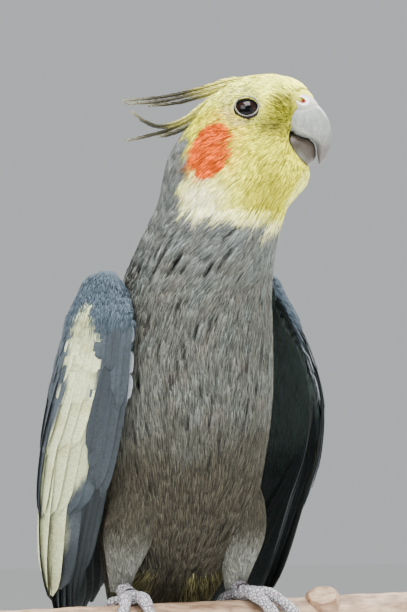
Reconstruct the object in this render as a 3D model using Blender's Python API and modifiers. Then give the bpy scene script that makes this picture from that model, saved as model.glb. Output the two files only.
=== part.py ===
"""A life-size cockatiel standing on a cut length of branch, on a plain display stand.

The bird faces -Y with its head turned to its own left. +Z is up, and the origin is the centre of the
underside of the round base. Sizes are in millimetres and are turned to metres as each mesh is made.
The bird's own heights are counted from the top of the branch.
"""

import math

import bmesh
import bpy
import numpy as np
from mathutils import Matrix

MM = 0.001
GAP = 0.3

# The stand and the branch.
BASE_RADIUS = 62.0
BASE_THICK = 10.0
ROD_RADIUS = 2.5
ROD_ACROSS = 50.0
PERCH_TOP = 148.0
PERCH_Y = -12.0
PERCH_HALF = 75.0
PERCH_RADIUS = 8.0
PERCH_RISE = 0.028

# The head is turned this far to the bird's left, in degrees, about a centre behind the eye.
HEAD_TURN = 62.0
HEAD_CENTRE = (8.0, -24.0, 139.0)

# The trunk in level slices: height, across, along, half width, front reach, back reach, turn, narrowing.
TRUNK = (
    (-24.0, 0.0, 26.5, 6.5, 3.6, 3.8, 0.0, 0.0),
    (-12.0, 0.0, 21.5, 11.0, 7.0, 7.0, 0.0, 0.0),
    (0.0, 0.0, 17.0, 15.5, 8.5, 10.5, 0.0, 0.0),
    (10.0, 0.0, 12.5, 19.5, 13.0, 14.0, 0.0, 0.0),
    (22.0, 0.0, 7.5, 22.8, 18.0, 18.5, 0.0, 0.0),
    (38.0, 0.0, 2.5, 24.0, 22.0, 21.5, 0.0, 0.0),
    (57.0, 0.0, -2.0, 24.0, 23.5, 22.5, 0.0, 0.0),
    (75.0, -0.3, -5.5, 22.8, 22.6, 22.4, 5.0, 0.0),
    (89.0, -1.0, -8.4, 21.9, 21.5, 22.2, 12.0, 0.0),
    (102.0, 0.2, -13.6, 19.7, 19.9, 20.0, 28.0, 0.02),
    (112.0, 2.0, -18.5, 17.7, 18.4, 18.3, 46.0, 0.05),
)
# The head in level slices: height over its centre, front reach, back reach, half width, narrowing.
HEAD = (
    (-20.0, 14.3, -23.2, 16.4, 0.10),
    (-15.0, 15.2, -21.8, 15.5, 0.14),
    (-10.0, 14.6, -19.9, 14.6, 0.18),
    (-5.0, 15.0, -17.3, 13.8, 0.22),
    (-0.5, 17.0, -14.4, 12.8, 0.24),
    (3.2, 18.6, -12.0, 11.6, 0.24),
    (6.3, 18.2, -9.2, 10.0, 0.18),
    (8.9, 15.4, -5.6, 7.6, 0.10),
    (10.7, 11.0, -0.8, 4.5, 0.04),
    (11.4, 5.2, 5.2, 0.0, 0.0),
)
# How much faster the face narrows towards the bill than the head does as a whole.
FACE_TAPER = 1.6
NECK_AT = 91.0
HEAD_AT = 111.0
RUMP_AT = 3.0

# The upper bill: outer edge and inner edge in the head's own plane, and half width.
UPPER_BILL = (
    ((13.6, 2.6), (11.2, -5.3), 6.2),
    ((18.6, 2.5), (12.8, -6.2), 6.0),
    ((21.7, -0.9), (14.8, -6.9), 5.2),
    ((22.9, -5.2), (17.0, -7.4), 4.2),
    ((22.6, -9.2), (18.5, -8.9), 2.9),
    ((21.4, -12.4), (18.9, -11.9), 1.6),
    ((19.7, -14.5), (19.3, -14.3), 0.35),
)
LOWER_BILL = (
    ((11.4, -12.4), (11.2, -6.4), 4.8),
    ((14.0, -14.2), (13.8, -7.6), 4.6),
    ((16.2, -14.9), (16.4, -8.4), 3.7),
    ((17.7, -13.7), (17.8, -9.2), 2.4),
    ((18.4, -12.2), (18.4, -11.0), 0.7),
)
# How flat the bill's sides are, and how much wider than the bill the face is cut back beside it.
BILL_SQUARE = 0.65
FACE_CUT = 1.7
# Crest feathers: width, place aside at root and tip, and the line each follows in the head's plane.
CREST = (
    (3.0, 0.6, 1.6, ((5.5, 10.2), (-5.1, 9.6), (-14.2, 7.1), (-24.2, 4.8), (-35.6, 3.6))),
    (3.0, -1.2, -2.0, ((4.0, 10.0), (-5.0, 8.6), (-14.2, 6.0), (-24.2, 3.6), (-34.8, 2.6))),
    (2.8, 2.2, 3.2, ((3.0, 9.6), (-5.5, 8.0), (-13.0, 5.2), (-21.0, 3.0), (-29.0, 2.2))),
    (3.2, -0.6, -1.4, ((1.5, 9.8), (-10.0, 5.1), (-18.0, -1.0), (-24.2, -3.4), (-29.0, -2.6), (-33.0, 0.0))),
    (3.0, 1.2, 1.6, ((1.0, 9.8), (-9.5, 4.6), (-15.0, 0.0), (-21.0, -3.2), (-26.0, -3.6), (-30.0, -2.2))),
    (3.0, 0.2, -0.4, ((-1.0, 9.4), (-9.0, 4.0), (-17.0, -1.6), (-22.8, -4.5), (-28.5, -6.2), (-34.8, -7.7))),
    (2.8, -1.8, -2.6, ((-1.5, 9.0), (-9.5, 3.0), (-16.0, -2.6), (-22.0, -5.6), (-25.6, -6.5))),
    (2.8, 2.0, 2.6, ((-1.5, 9.0), (-9.0, 3.4), (-15.5, -2.0), (-20.5, -5.0), (-24.0, -5.6))),
    (2.6, 0.0, -0.4, ((-6.0, 5.4), (-13.0, -1.9), (-18.5, -8.0), (-22.8, -12.2))),
)
EYE_AT = (-0.9, 2.6)
EYE_RADIUS = 4.6
EYE_SUNK = 3.4
LID_RADIUS = 3.75
LID_THICK = 0.8
LID_FLAT = 0.88
LID_SUNK = 0.1
CERE_AT = (15.4, 3.5, 0.0)
CERE_SIZE = (5.0, 3.3, 5.2)
NOSTRIL_AT = (14.5, 4.4, 5.2)
NOSTRIL_SIZE = (1.2, 0.8, 1.4)

# The folded wing in level slices: height, leading edge, outermost line, trailing edge, thickness.
RIGHT_WING = (
    (94.5, (28.2, -9.4), (31.0, -6.0), (29.5, -2.5), 1.0),
    (91.0, (26.2, -11.6), (35.0, -3.8), (22.5, 4.0), 5.6),
    (82.0, (25.4, -14.4), (37.8, -1.0), (17.5, 8.8), 6.6),
    (70.0, (25.5, -14.5), (40.2, 2.0), (14.5, 15.5), 6.0),
    (57.0, (26.0, -12.5), (42.0, 4.5), (12.0, 20.5), 4.6),
    (42.0, (26.5, -8.0), (42.6, 8.0), (10.0, 24.5), 4.2),
    (29.0, (27.5, -4.0), (41.5, 12.0), (9.0, 27.5), 3.8),
    (12.0, (28.5, 1.5), (38.6, 16.0), (8.5, 30.0), 1.8),
    (-2.0, (27.8, 9.0), (33.4, 20.5), (8.5, 32.5), 1.6),
    (-18.0, (23.8, 15.0), (27.0, 27.0), (9.0, 37.0), 1.4),
    (-34.0, (18.5, 26.0), (19.5, 35.0), (9.5, 41.5), 1.2),
    (-48.0, (14.6, 39.5), (12.6, 43.0), (9.4, 45.5), 0.8),
)
# The left wing is swung back, so that its leading edge stands furthest aside.
LEFT_WING = (
    (94.5, (25.9, -0.2), (27.8, 3.6), (26.4, 7.6), 1.0),
    (91.0, (26.3, -4.9), (30.9, 3.9), (21.5, 12.0), 5.0),
    (82.0, (28.8, -9.7), (34.1, 5.6), (17.5, 14.0), 5.6),
    (70.0, (33.0, -13.0), (36.8, 6.5), (14.5, 17.5), 5.0),
    (57.0, (35.7, -14.5), (38.6, 6.7), (12.0, 21.0), 4.4),
    (42.0, (36.0, -12.3), (39.1, 8.7), (10.0, 24.5), 4.0),
    (29.0, (33.9, -7.9), (37.9, 12.7), (9.0, 27.5), 3.6),
    (12.0, (32.0, -1.1), (34.6, 16.8), (8.5, 30.0), 1.8),
    (-2.0, (29.6, 6.6), (31.0, 21.1), (8.5, 32.5), 1.6),
    (-18.0, (25.0, 15.4), (26.2, 27.0), (9.0, 37.0), 1.4),
    (-34.0, (18.8, 26.5), (19.5, 35.0), (9.5, 41.5), 1.2),
    (-48.0, (14.6, 39.5), (12.6, 43.0), (9.4, 45.5), 0.8),
)
# The arm of the wing, under its coverts, ends at this height in its middle and higher at its edges.
ARM_END = 38.0
ARM_SCOOP = 24.0
VANE_THICK = 0.55
VANE_STEP = 1.0
VANE_STACK = 0.4
LONG_VANE = 45.0
SHORT_STEPS = (0.0, 0.42, 0.86, 1.0)
LONG_STEPS = (0.0, 0.25, 0.5, 0.75, 0.93, 1.0)
VANE_SLOPE = 0.75
# Tiers of wing feathers, each from the leading edge backwards: name, count, width, lift at root and tip,
# then the places (height, share from the leading edge to the trailing edge) of roots and of tips.
WING_TIERS = (
    (
        "primary",
        7,
        5.4,
        (-2.0, -3.1),
        ((60.0, 0.06), (50.0, 0.24)),
        ((8.0, 0.06), (-6.0, 0.13), (-21.0, 0.22), (-36.0, 0.36), (-47.0, 0.52), (-43.0, 0.66),
         (-36.0, 0.80)),
    ),
    (
        "secondary",
        6,
        10.2,
        (-1.4, -0.9),
        ((48.0, 0.22), (48.0, 0.88)),
        ((4.0, 0.20), (1.0, 0.335), (-1.0, 0.47), (-3.0, 0.61), (-2.0, 0.75), (3.0, 0.88)),
    ),
    ("tertial", 2, 8.0, (-1.0, 0.9), ((66.0, 0.80), (68.0, 0.90)), ((14.0, 0.84), (24.0, 0.93))),
    (
        "greater_covert",
        7,
        9.6,
        (-2.0, 0.8),
        ((62.0, 0.13), (62.0, 0.85)),
        ((27.0, 0.13), (25.0, 0.25), (24.0, 0.37), (24.0, 0.49), (26.0, 0.61), (29.0, 0.73),
         (34.0, 0.85)),
    ),
    (
        "median_covert",
        6,
        10.0,
        (-2.0, 1.6),
        ((78.0, 0.14), (78.0, 0.80)),
        ((55.0, 0.14), (53.0, 0.275), (52.0, 0.41), (52.0, 0.545), (54.0, 0.68), (57.0, 0.81)),
    ),
    (
        "primary_covert",
        3,
        4.4,
        (-1.2, 1.3),
        ((76.0, 0.06), (76.0, 0.12)),
        ((33.0, 0.045), (36.0, 0.085), (41.0, 0.125)),
    ),
    ("alula", 2, 4.0, (-1.0, 2.1), ((86.0, 0.05), (86.0, 0.10)), ((58.0, 0.045), (64.0, 0.09))),
)
SHOULDER_AT = (24.5, -1.5, 73.0)
SHOULDER_SIZE = (8.5, 8.0, 13.0)

# The tail leaves the rump at this lean from the vertical, in degrees.
TAIL_LEAN = 20.0
TAIL_ROOT = (0.0, 26.8, -21.5)
TAIL_LENGTH = 118.0
# Tail feathers from the middle out: share of the longest, width, level over the tail's plane, tilt.
RECTRICES = (
    (1.00, 7.4, 1.9, 0.0),
    (0.985, 7.4, 0.95, 0.0),
    (0.90, 8.2, 0.0, 6.0),
    (0.81, 8.2, -1.0, 6.0),
    (0.73, 8.2, -2.0, 6.0),
    (0.65, 8.2, -3.0, 6.0),
    (0.57, 7.6, -4.0, 6.0),
)
# Coverts over and under the tail's root: how many, width, length past the rump, level.
TAIL_COVERTS = ((5, 6.2, 28.0, 4.2), (5, 6.2, 36.0, -6.6))

# The thigh in slices down the leg: across, along, height, radius.
THIGH = (
    (12.5, 0.8, 40.0, 7.0),
    (15.2, -0.4, 30.0, 8.6),
    (17.6, 0.8, 20.0, 7.8),
    (18.4, 3.0, 11.4, 5.1),
    (18.5, 4.6, 6.8, 3.5),
)
FOOT_ACROSS = 18.5


def remove_everything():
    """Empties the scene that Blender starts with."""
    for obj in list(bpy.data.objects):
        bpy.data.objects.remove(obj)


def collection(name):
    """A new collection in the scene."""
    made = bpy.data.collections.new(name)
    bpy.context.scene.collection.children.link(made)
    return made


remove_everything()
BIRD = collection("cockatiel")
CUTTERS = collection("cutters")


def material(name, colour, roughness, metallic=0.0):
    """A plain Principled material of one colour."""
    made = bpy.data.materials.new(name)
    made.use_nodes = True
    shader = made.node_tree.nodes["Principled BSDF"]
    shader.inputs["Base Color"].default_value = (*colour, 1.0)
    shader.inputs["Roughness"].default_value = roughness
    shader.inputs["Metallic"].default_value = metallic
    return made


def on_perch(points):
    """Points counted from the top of the branch, moved to the stand's frame."""
    return np.asarray(points, float) + (0.0, PERCH_Y, PERCH_TOP)


def object_from(name, points, faces, group=None):
    """An object from points in millimetres and its faces."""
    mesh = bpy.data.meshes.new(name)
    mesh.from_pydata((np.asarray(points) * MM).tolist(), [], faces)
    mesh.validate()
    obj = bpy.data.objects.new(name, mesh)
    (group or BIRD).objects.link(obj)
    return obj


def turned_out(obj):
    """Makes every face of a closed mesh point outwards."""
    mesh = bmesh.new()
    mesh.from_mesh(obj.data)
    bmesh.ops.remove_doubles(mesh, verts=mesh.verts, dist=1e-7)
    bmesh.ops.recalc_face_normals(mesh, faces=mesh.faces)
    if mesh.calc_volume(signed=True) < 0:
        bmesh.ops.reverse_faces(mesh, faces=mesh.faces)
    mesh.to_mesh(obj.data)
    mesh.free()
    return obj


def loft(name, rings, group=None, ladder=False):
    """A closed skin through rings of points of equal count, each end closed by a fan or by rungs."""
    rings = np.asarray(rings, float)
    count, around, _ = rings.shape
    faces = []
    for i in range(count - 1):
        for j in range(around):
            k = (j + 1) % around
            a, b = i * around + j, i * around + k
            faces += [(a, b, b + around), (a, b + around, a + around)]
    last = (count - 1) * around
    if ladder:
        for j in range(around // 2 - 1):
            a, b, c, d = j, j + 1, around - 2 - j, around - 1 - j
            faces += [(a, c, b), (a, d, c), (last + a, last + b, last + c), (last + a, last + c, last + d)]
        return turned_out(object_from(name, rings.reshape(-1, 3), faces, group))
    points = np.vstack([rings.reshape(-1, 3), rings[0].mean(0), rings[-1].mean(0)])
    low, high = count * around, count * around + 1
    for j in range(around):
        k = (j + 1) % around
        faces += [(low, k, j), (high, last + j, last + k)]
    return turned_out(object_from(name, points, faces, group))


def smooth(rows, at):
    """Values at places along rows of sizes, on a curve through every row (Catmull-Rom)."""
    rows = np.asarray(rows, float)
    padded = np.vstack([2 * rows[0] - rows[1], rows, 2 * rows[-1] - rows[-2]])
    at = np.clip(np.atleast_1d(np.asarray(at, float)), 0, len(rows) - 1)
    i = np.minimum(at.astype(int), len(rows) - 2)
    t = (at - i)[:, None]
    p0, p1, p2, p3 = (padded[i + k] for k in range(4))
    return 0.5 * (
        2 * p1
        + (p2 - p0) * t
        + (2 * p0 - 5 * p1 + 4 * p2 - p3) * t**2
        + (3 * p1 - p0 - 3 * p2 + p3) * t**3
    )


def freeze(obj):
    """Applies an object's modifiers."""
    graph = bpy.context.evaluated_depsgraph_get()
    mesh = bpy.data.meshes.new_from_object(obj.evaluated_get(graph))
    obj.modifiers.clear()
    obj.data = mesh
    return obj


def keep_largest(obj):
    """Drops every loose piece but the one of most volume."""
    mesh = bmesh.new()
    mesh.from_mesh(obj.data)
    bmesh.ops.remove_doubles(mesh, verts=mesh.verts, dist=1e-7)
    bmesh.ops.triangulate(mesh, faces=mesh.faces)
    left, pieces = set(mesh.faces), []
    while left:
        stack, piece = [left.pop()], []
        while stack:
            face = stack.pop()
            piece.append(face)
            for edge in face.edges:
                for other in edge.link_faces:
                    if other in left:
                        left.remove(other)
                        stack.append(other)
        volume = sum(f.verts[0].co.dot(f.verts[1].co.cross(f.verts[2].co)) for f in piece)
        pieces.append((abs(volume), piece))
    pieces.sort(key=lambda pair: pair[0])
    spare = [face for _, piece in pieces[:-1] for face in piece]
    bmesh.ops.delete(mesh, geom=spare, context="FACES")
    mesh.to_mesh(obj.data)
    mesh.free()
    return obj


def join(obj, others, operation="UNION"):
    """One Boolean between an object and a group of closed meshes, which are then removed."""
    group = bpy.data.collections.new("joined")
    bpy.context.scene.collection.children.link(group)
    for other in others:
        for home in list(other.users_collection):
            home.objects.unlink(other)
        group.objects.link(other)
    cut = obj.modifiers.new("join", "BOOLEAN")
    cut.operation = operation
    cut.operand_type = "COLLECTION"
    cut.collection = group
    cut.solver = "EXACT"
    bpy.context.view_layer.update()
    freeze(obj)
    for other in others:
        bpy.data.objects.remove(other)
    bpy.data.collections.remove(group)
    return keep_largest(obj)


def ellipsoid(name, centre, size, across=12, up=8):
    """A closed ellipsoid with its place and size in millimetres."""
    mesh = bmesh.new()
    bmesh.ops.create_uvsphere(mesh, u_segments=across, v_segments=up, radius=1.0)
    for vert in mesh.verts:
        for axis in range(3):
            vert.co[axis] = (centre[axis] + vert.co[axis] * size[axis]) * MM
    data = bpy.data.meshes.new(name)
    mesh.to_mesh(data)
    mesh.free()
    obj = bpy.data.objects.new(name, data)
    CUTTERS.objects.link(obj)
    return obj


def finish(obj, look, smooth_at=50.0):
    """Gives a node its material and its shading, and files it with the bird."""
    obj.data.materials.clear()
    obj.data.materials.append(look)
    obj.data.shade_smooth()
    obj.data.set_sharp_from_angle(angle=math.radians(smooth_at))
    for home in list(obj.users_collection):
        home.objects.unlink(obj)
    BIRD.objects.link(obj)
    return obj


# The trunk and head: one skin in level slices, parted with thin gaps.


def head_rows():
    """The head's slices in the trunk's own terms, turned about the head's centre."""
    ahead = (math.sin(math.radians(HEAD_TURN)), -math.cos(math.radians(HEAD_TURN)))
    rows = []
    for height, front, back, half, narrow in HEAD:
        middle = (front + back) / 2
        reach = (front - back) / 2
        rows.append(
            (
                HEAD_CENTRE[2] + height,
                HEAD_CENTRE[0] + middle * ahead[0],
                HEAD_CENTRE[1] + middle * ahead[1],
                half,
                reach,
                reach,
                HEAD_TURN,
                narrow,
            )
        )
    return rows


BODY = np.array(list(TRUNK) + head_rows())
FINE = np.linspace(0, len(BODY) - 1, 2001)
FINE_HEIGHT = smooth(BODY, FINE)[:, 0]


def row_at(height):
    """The place along the rows of the slice at a height."""
    return float(np.interp(height, FINE_HEIGHT, FINE))


def body_ring(place, around, grow=0.0):
    """One slice: an egg of front and back halves, drawn in towards the face, turned about its middle."""
    _, across, along, half, front, back, turn, narrow = smooth(BODY, place)[0]
    height = smooth(BODY, place)[0][0]
    angle = np.arange(around) * 2 * math.pi / around
    ahead = np.where(np.cos(angle) > 0, front + grow, back + grow) * np.cos(angle)
    drawn_in = narrow * np.cos(angle) + FACE_TAPER * narrow * np.maximum(np.cos(angle), 0) ** 2
    aside = (half + grow) * np.sin(angle) * (1 - drawn_in)
    turn = math.radians(turn)
    x = across + ahead * math.sin(turn) + aside * math.cos(turn)
    y = along - ahead * math.cos(turn) + aside * math.sin(turn)
    return on_perch(np.stack([x, y, np.full(around, height)], 1))


def body_piece(name, low, high, slices, around, grow=0.0, group=None):
    """The trunk between two heights as one closed solid."""
    places = np.linspace(row_at(low), row_at(high), slices)
    return loft(name, [body_ring(p, around, grow) for p in places], group)


def head_point(ahead, up, aside):
    """A point in the head's own frame: towards the bill, upwards, and to the bird's left of it."""
    turn = math.radians(HEAD_TURN)
    x = HEAD_CENTRE[0] + ahead * math.sin(turn) + aside * math.cos(turn)
    y = HEAD_CENTRE[1] - ahead * math.cos(turn) + aside * math.sin(turn)
    return on_perch((x, y, HEAD_CENTRE[2] + up))


def head_half_width(ahead, up):
    """How far the side of the head stands from its middle at a place in its own plane."""
    place = row_at(HEAD_CENTRE[2] + up)
    ring = body_ring(place, 180) - head_point(0, up, 0)
    turn = math.radians(HEAD_TURN)
    forward = ring[:, 0] * math.sin(turn) - ring[:, 1] * math.cos(turn)
    side = ring[:, 0] * math.cos(turn) + ring[:, 1] * math.sin(turn)
    right = side < 0
    return float(-side[right][np.argmin(abs(forward[right] - ahead))])


def bill(name, rows, grow, wide=1.0, slices=8, around=12):
    """A bill half: flat-sided rings from inner to outer edge in the head's plane, with a half width."""
    table = np.array([(*outer, *inner, half) for outer, inner, half in rows])
    rings = []
    for outer_a, outer_u, inner_a, inner_u, half in smooth(
        table, np.linspace(0, len(rows) - 1, slices)
    ):
        middle = np.array([(outer_a + inner_a) / 2, (outer_u + inner_u) / 2])
        arm = np.array([outer_a, outer_u]) - middle
        reach = max(float(np.hypot(*arm)), 0.15)
        arm = arm / reach * (reach + grow)
        ring = []
        for j in range(around):
            angle = j * 2 * math.pi / around
            spot = middle + arm * math.cos(angle)
            aside = math.copysign(abs(math.sin(angle)) ** BILL_SQUARE, math.sin(angle))
            ring.append(head_point(spot[0], spot[1], (half + grow) * wide * aside))
        rings.append(ring)
    return loft(name, rings, CUTTERS)


def sphere_in_head(name, ahead, up, aside, size):
    """An ellipsoid turned with the head: its size is ahead, up and aside."""
    obj = ellipsoid(name, (0, 0, 0), (size[0], size[2], size[1]))
    turn = math.radians(HEAD_TURN - 90)
    obj.data.transform(bpy_turn(turn, head_point(ahead, up, aside)))
    return obj


def bpy_turn(angle, place):
    """A turn about the vertical and a move to a place in millimetres, as a matrix."""
    return Matrix.Translation([c * MM for c in place]) @ Matrix.Rotation(angle, 4, "Z")


def strip(name, line, widths, across, thick=VANE_THICK):
    """A closed flat vane along a line: a width at each point, the way its width lies, and a thickness."""
    line = np.asarray(line, float)
    across = np.broadcast_to(np.asarray(across, float), line.shape)
    along = np.gradient(line, axis=0)
    along /= np.linalg.norm(along, axis=1)[:, None]
    across = across - (across * along).sum(1)[:, None] * along
    across /= np.linalg.norm(across, axis=1)[:, None]
    up = np.cross(along, across) * thick / 2
    half = np.asarray(widths, float)[:, None] / 2 * across
    rings = np.stack([line - half + up, line + half + up, line + half - up, line - half - up], 1)
    faces = []
    for a in range(0, 4 * len(rings) - 4, 4):
        b = a + 4
        faces += [(a, a + 1, b + 1), (a, b + 1, b), (a + 3, b + 2, a + 2), (a + 3, b + 3, b + 2)]
        faces += [(a + 1, a + 2, b + 2), (a + 1, b + 2, b + 1), (a + 3, a, b), (a + 3, b, b + 3)]
    last = 4 * len(rings) - 4
    faces += [(0, 3, 2), (0, 2, 1), (last, last + 1, last + 2), (last, last + 2, last + 3)]
    return turned_out(object_from(name, rings.reshape(-1, 3), faces, CUTTERS))


def crest_feather(name, width, root_aside, tip_aside, line, steps=6):
    """One long crest feather, its root sunk in the crown."""
    spots = smooth(line, np.linspace(0, len(line) - 1, steps))
    share = np.linspace(0, 1, steps)
    lean = root_aside + (tip_aside - root_aside) * share
    points = [head_point(ahead, up, aside) for (ahead, up), aside in zip(spots, lean)]
    side = head_point(0, 0, 1) - head_point(0, 0, 0)
    widths = width * np.interp(share, (0, 0.3, 0.75, 1), (0.7, 1, 0.75, 0.25))
    return strip(name, points, widths, side)


def tube(name, points, radii, sides=6, closed=False):
    """A round limb: a curve through points with a bevel and a radius at each, made a mesh."""
    curve = bpy.data.curves.new(name, "CURVE")
    curve.dimensions = "3D"
    curve.bevel_depth = MM
    curve.bevel_resolution = sides // 2 - 2
    curve.use_fill_caps = not closed
    line = curve.splines.new("POLY")
    line.points.add(len(points) - 1)
    line.use_cyclic_u = closed
    for point, spot, radius in zip(line.points, points, radii):
        point.co = (*(c * MM for c in spot), 1.0)
        point.radius = radius
    bent = bpy.data.objects.new(name, curve)
    CUTTERS.objects.link(bent)
    bpy.context.view_layer.update()
    mesh = bpy.data.meshes.new_from_object(bent.evaluated_get(bpy.context.evaluated_depsgraph_get()))
    bpy.data.objects.remove(bent)
    obj = bpy.data.objects.new(name, mesh)
    CUTTERS.objects.link(obj)
    return turned_out(obj)


def lid(name, side):
    """The bare ring of skin round an eye, standing a little proud of the side of the head."""
    out = head_half_width(*EYE_AT)
    lean_ahead = (out - head_half_width(EYE_AT[0] + 2, EYE_AT[1])) / 2
    lean_up = (out - head_half_width(EYE_AT[0], EYE_AT[1] + 2)) / 2
    points = []
    for angle in np.arange(12) * 2 * math.pi / 12:
        ahead = LID_RADIUS * math.cos(angle)
        up = LID_RADIUS * LID_FLAT * math.sin(angle)
        sunk = lean_ahead * ahead + lean_up * up
        points.append(head_point(EYE_AT[0] + ahead, EYE_AT[1] + up, side * (out - LID_SUNK - sunk)))
    return tube(name, points, [LID_THICK] * len(points), closed=True)


def build_head():
    """The head with its crest, lids, cere and nostrils, cut clear of the eyes and the bill."""
    yellow = material("yellow_face", (0.80, 0.72, 0.28), 0.8)
    horn = material("grey_horn", (0.42, 0.41, 0.40), 0.4)
    glossy = material("dark_eye", (0.02, 0.012, 0.01), 0.05)
    head = body_piece("head", HEAD_AT, HEAD_CENTRE[2] + HEAD[-1][0] - 0.02, 15, 24)
    out = head_half_width(*EYE_AT)
    extras = [sphere_in_head("cere", *CERE_AT, CERE_SIZE)]
    extras += [lid(f"lid_{side}", side) for side in (-1, 1)]
    extras += [crest_feather(f"crest_{i}", *row) for i, row in enumerate(CREST)]
    join(head, extras)
    cutters = [bill("upper_room", UPPER_BILL, GAP, FACE_CUT), bill("lower_room", LOWER_BILL, GAP, FACE_CUT)]
    for side in (-1, 1):
        room = EYE_RADIUS + GAP
        cutters.append(
            sphere_in_head(f"socket_{side}", *EYE_AT, side * (out - EYE_SUNK), (room, room, room))
        )
        cutters.append(
            sphere_in_head(
                f"nostril_{side}", NOSTRIL_AT[0], NOSTRIL_AT[1], side * NOSTRIL_AT[2], NOSTRIL_SIZE
            )
        )
    join(head, cutters, "DIFFERENCE")
    finish(head, yellow)
    for name, rows in (("bill_upper", UPPER_BILL), ("bill_lower", LOWER_BILL)):
        finish(bill(name, rows, 0.0), horn)
    for name, side in (("eye_right", -1), ("eye_left", 1)):
        size = (EYE_RADIUS, EYE_RADIUS, EYE_RADIUS)
        finish(sphere_in_head(name, *EYE_AT, side * (out - EYE_SUNK), size), glossy)


GREY = material("grey_plumage", (0.33, 0.32, 0.32), 0.85)
DARK = material("dark_flight_feathers", (0.12, 0.13, 0.15), 0.6)
SKIN = material("pink_grey_foot_skin", (0.52, 0.42, 0.42), 0.6)
CLAW = material("dark_claw_horn", (0.20, 0.18, 0.17), 0.4)


def tail_spots(across, down, level):
    """Points in the tail's own frame: across it, down it from the rump, and over its plane."""
    across, down, level = np.broadcast_arrays(np.asarray(across, float), down, level)
    lean = math.radians(TAIL_LEAN)
    along = down * math.sin(lean) + level * math.cos(lean)
    height = -down * math.cos(lean) + level * math.sin(lean)
    return on_perch(np.array(TAIL_ROOT) + np.stack([across, along, height], -1))


def tail_covert(name, place, width, length, level):
    """A covert over (level above 0) or under the tail's root, its own root sunk in the rump."""
    share = np.array((0.0, 0.3, 0.6, 0.88, 1.0))
    down = -10.0 + (length + 10.0 - 1.6 * place**2) * share
    rise = (level - 0.75 * np.sign(level) * abs(place)) * np.interp(share, (0, 0.35, 1), (0.45, 1.0, 0.96))
    points = tail_spots(place * (1.9 + 1.3 * share), down, rise)
    widths = width * np.interp(share, (0, 0.3, 0.8, 1), (0.6, 1, 0.8, 0.25))
    slope = -0.06 * place * np.sign(level)
    step = tail_spots(1.0, 0.0, slope) - tail_spots(0.0, 0.0, 0.0)
    return strip(name, points, widths, step)


def build_trunk():
    """Neck, torso and rump: the same skin, parted level, with the tail's coverts on the rump."""
    half = GAP / 2
    finish(body_piece("neck", NECK_AT + half, HEAD_AT - GAP, 6, 24), GREY)
    finish(body_piece("torso", RUMP_AT + half, NECK_AT - half, 12, 24), GREY)
    rump = body_piece("rump", TRUNK[0][0], RUMP_AT - half, 7, 18)
    coverts = []
    for count, width, length, level in TAIL_COVERTS:
        for place in np.arange(count) - (count - 1) / 2:
            coverts.append(tail_covert("covert", float(place), width, length, level))
    join(rump, coverts)
    finish(rump, GREY)


def rectrix(name, side, number, share_long, width, level, tilt):
    """One long tail feather, its root sunk in the tail's core."""
    share = np.array((0.0, 0.2, 0.45, 0.7, 0.9, 0.97, 1.0))
    down = 1.5 + (TAIL_LENGTH * share_long - 1.5) * share
    middle = 1.2 if number < 2 else 4.35 + 1.15 * (number - 2)
    root = 0.9 if number < 2 else 2.9 + 0.8 * (number - 2)
    across = side * (root + (middle - root) * np.interp(share, (0, 0.3, 1), (0, 1, 1)))
    rise = level * np.interp(down, (1.5, 22.0), (0.42, 1.0))
    points = tail_spots(across, down, rise)
    widths = width * np.interp(share, (0, 0.25, 0.8, 0.92, 1), (0.45, 1, 0.86, 0.62, 0.15))
    slope = math.tan(math.radians(tilt))
    step = tail_spots(1.0, 0.0, -side * slope) - tail_spots(0.0, 0.0, 0.0)
    return strip(name, points, widths, step)


def build_tail():
    """The tail: a short core and twelve feathers in steps, longest in the middle."""
    rings = []
    for down, half, thick in ((-3.0, 6.0, 3.4), (2.0, 7.4, 3.4), (9.0, 8.2, 2.9), (15.0, 7.6, 1.4)):
        angle = np.arange(14) * 2 * math.pi / 14
        rings.append(tail_spots(half * np.cos(angle), down, -0.6 + thick * np.sin(angle)))
    tail = loft("tail", rings)
    vanes = [rectrix("rectrix_0", -1, 0, *RECTRICES[0]), rectrix("rectrix_1", 1, 1, *RECTRICES[1])]
    for number, row in enumerate(RECTRICES[2:], 2):
        vanes += [rectrix(f"rectrix_{number}", side, number, *row) for side in (-1, 1)]
    join(tail, vanes)
    join(tail, [body_piece("rump_room", TRUNK[0][0] - GAP, 8.0, 7, 18, GAP, CUTTERS)], "DIFFERENCE")
    finish(tail, DARK)


def wing_rows(side):
    """Rows of a wing: height, leading edge, outermost line, trailing edge, thickness."""
    table = LEFT_WING if side > 0 else RIGHT_WING
    return np.array([(height, *lead, *most, *trail, thick) for height, lead, most, trail, thick in table])


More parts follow.
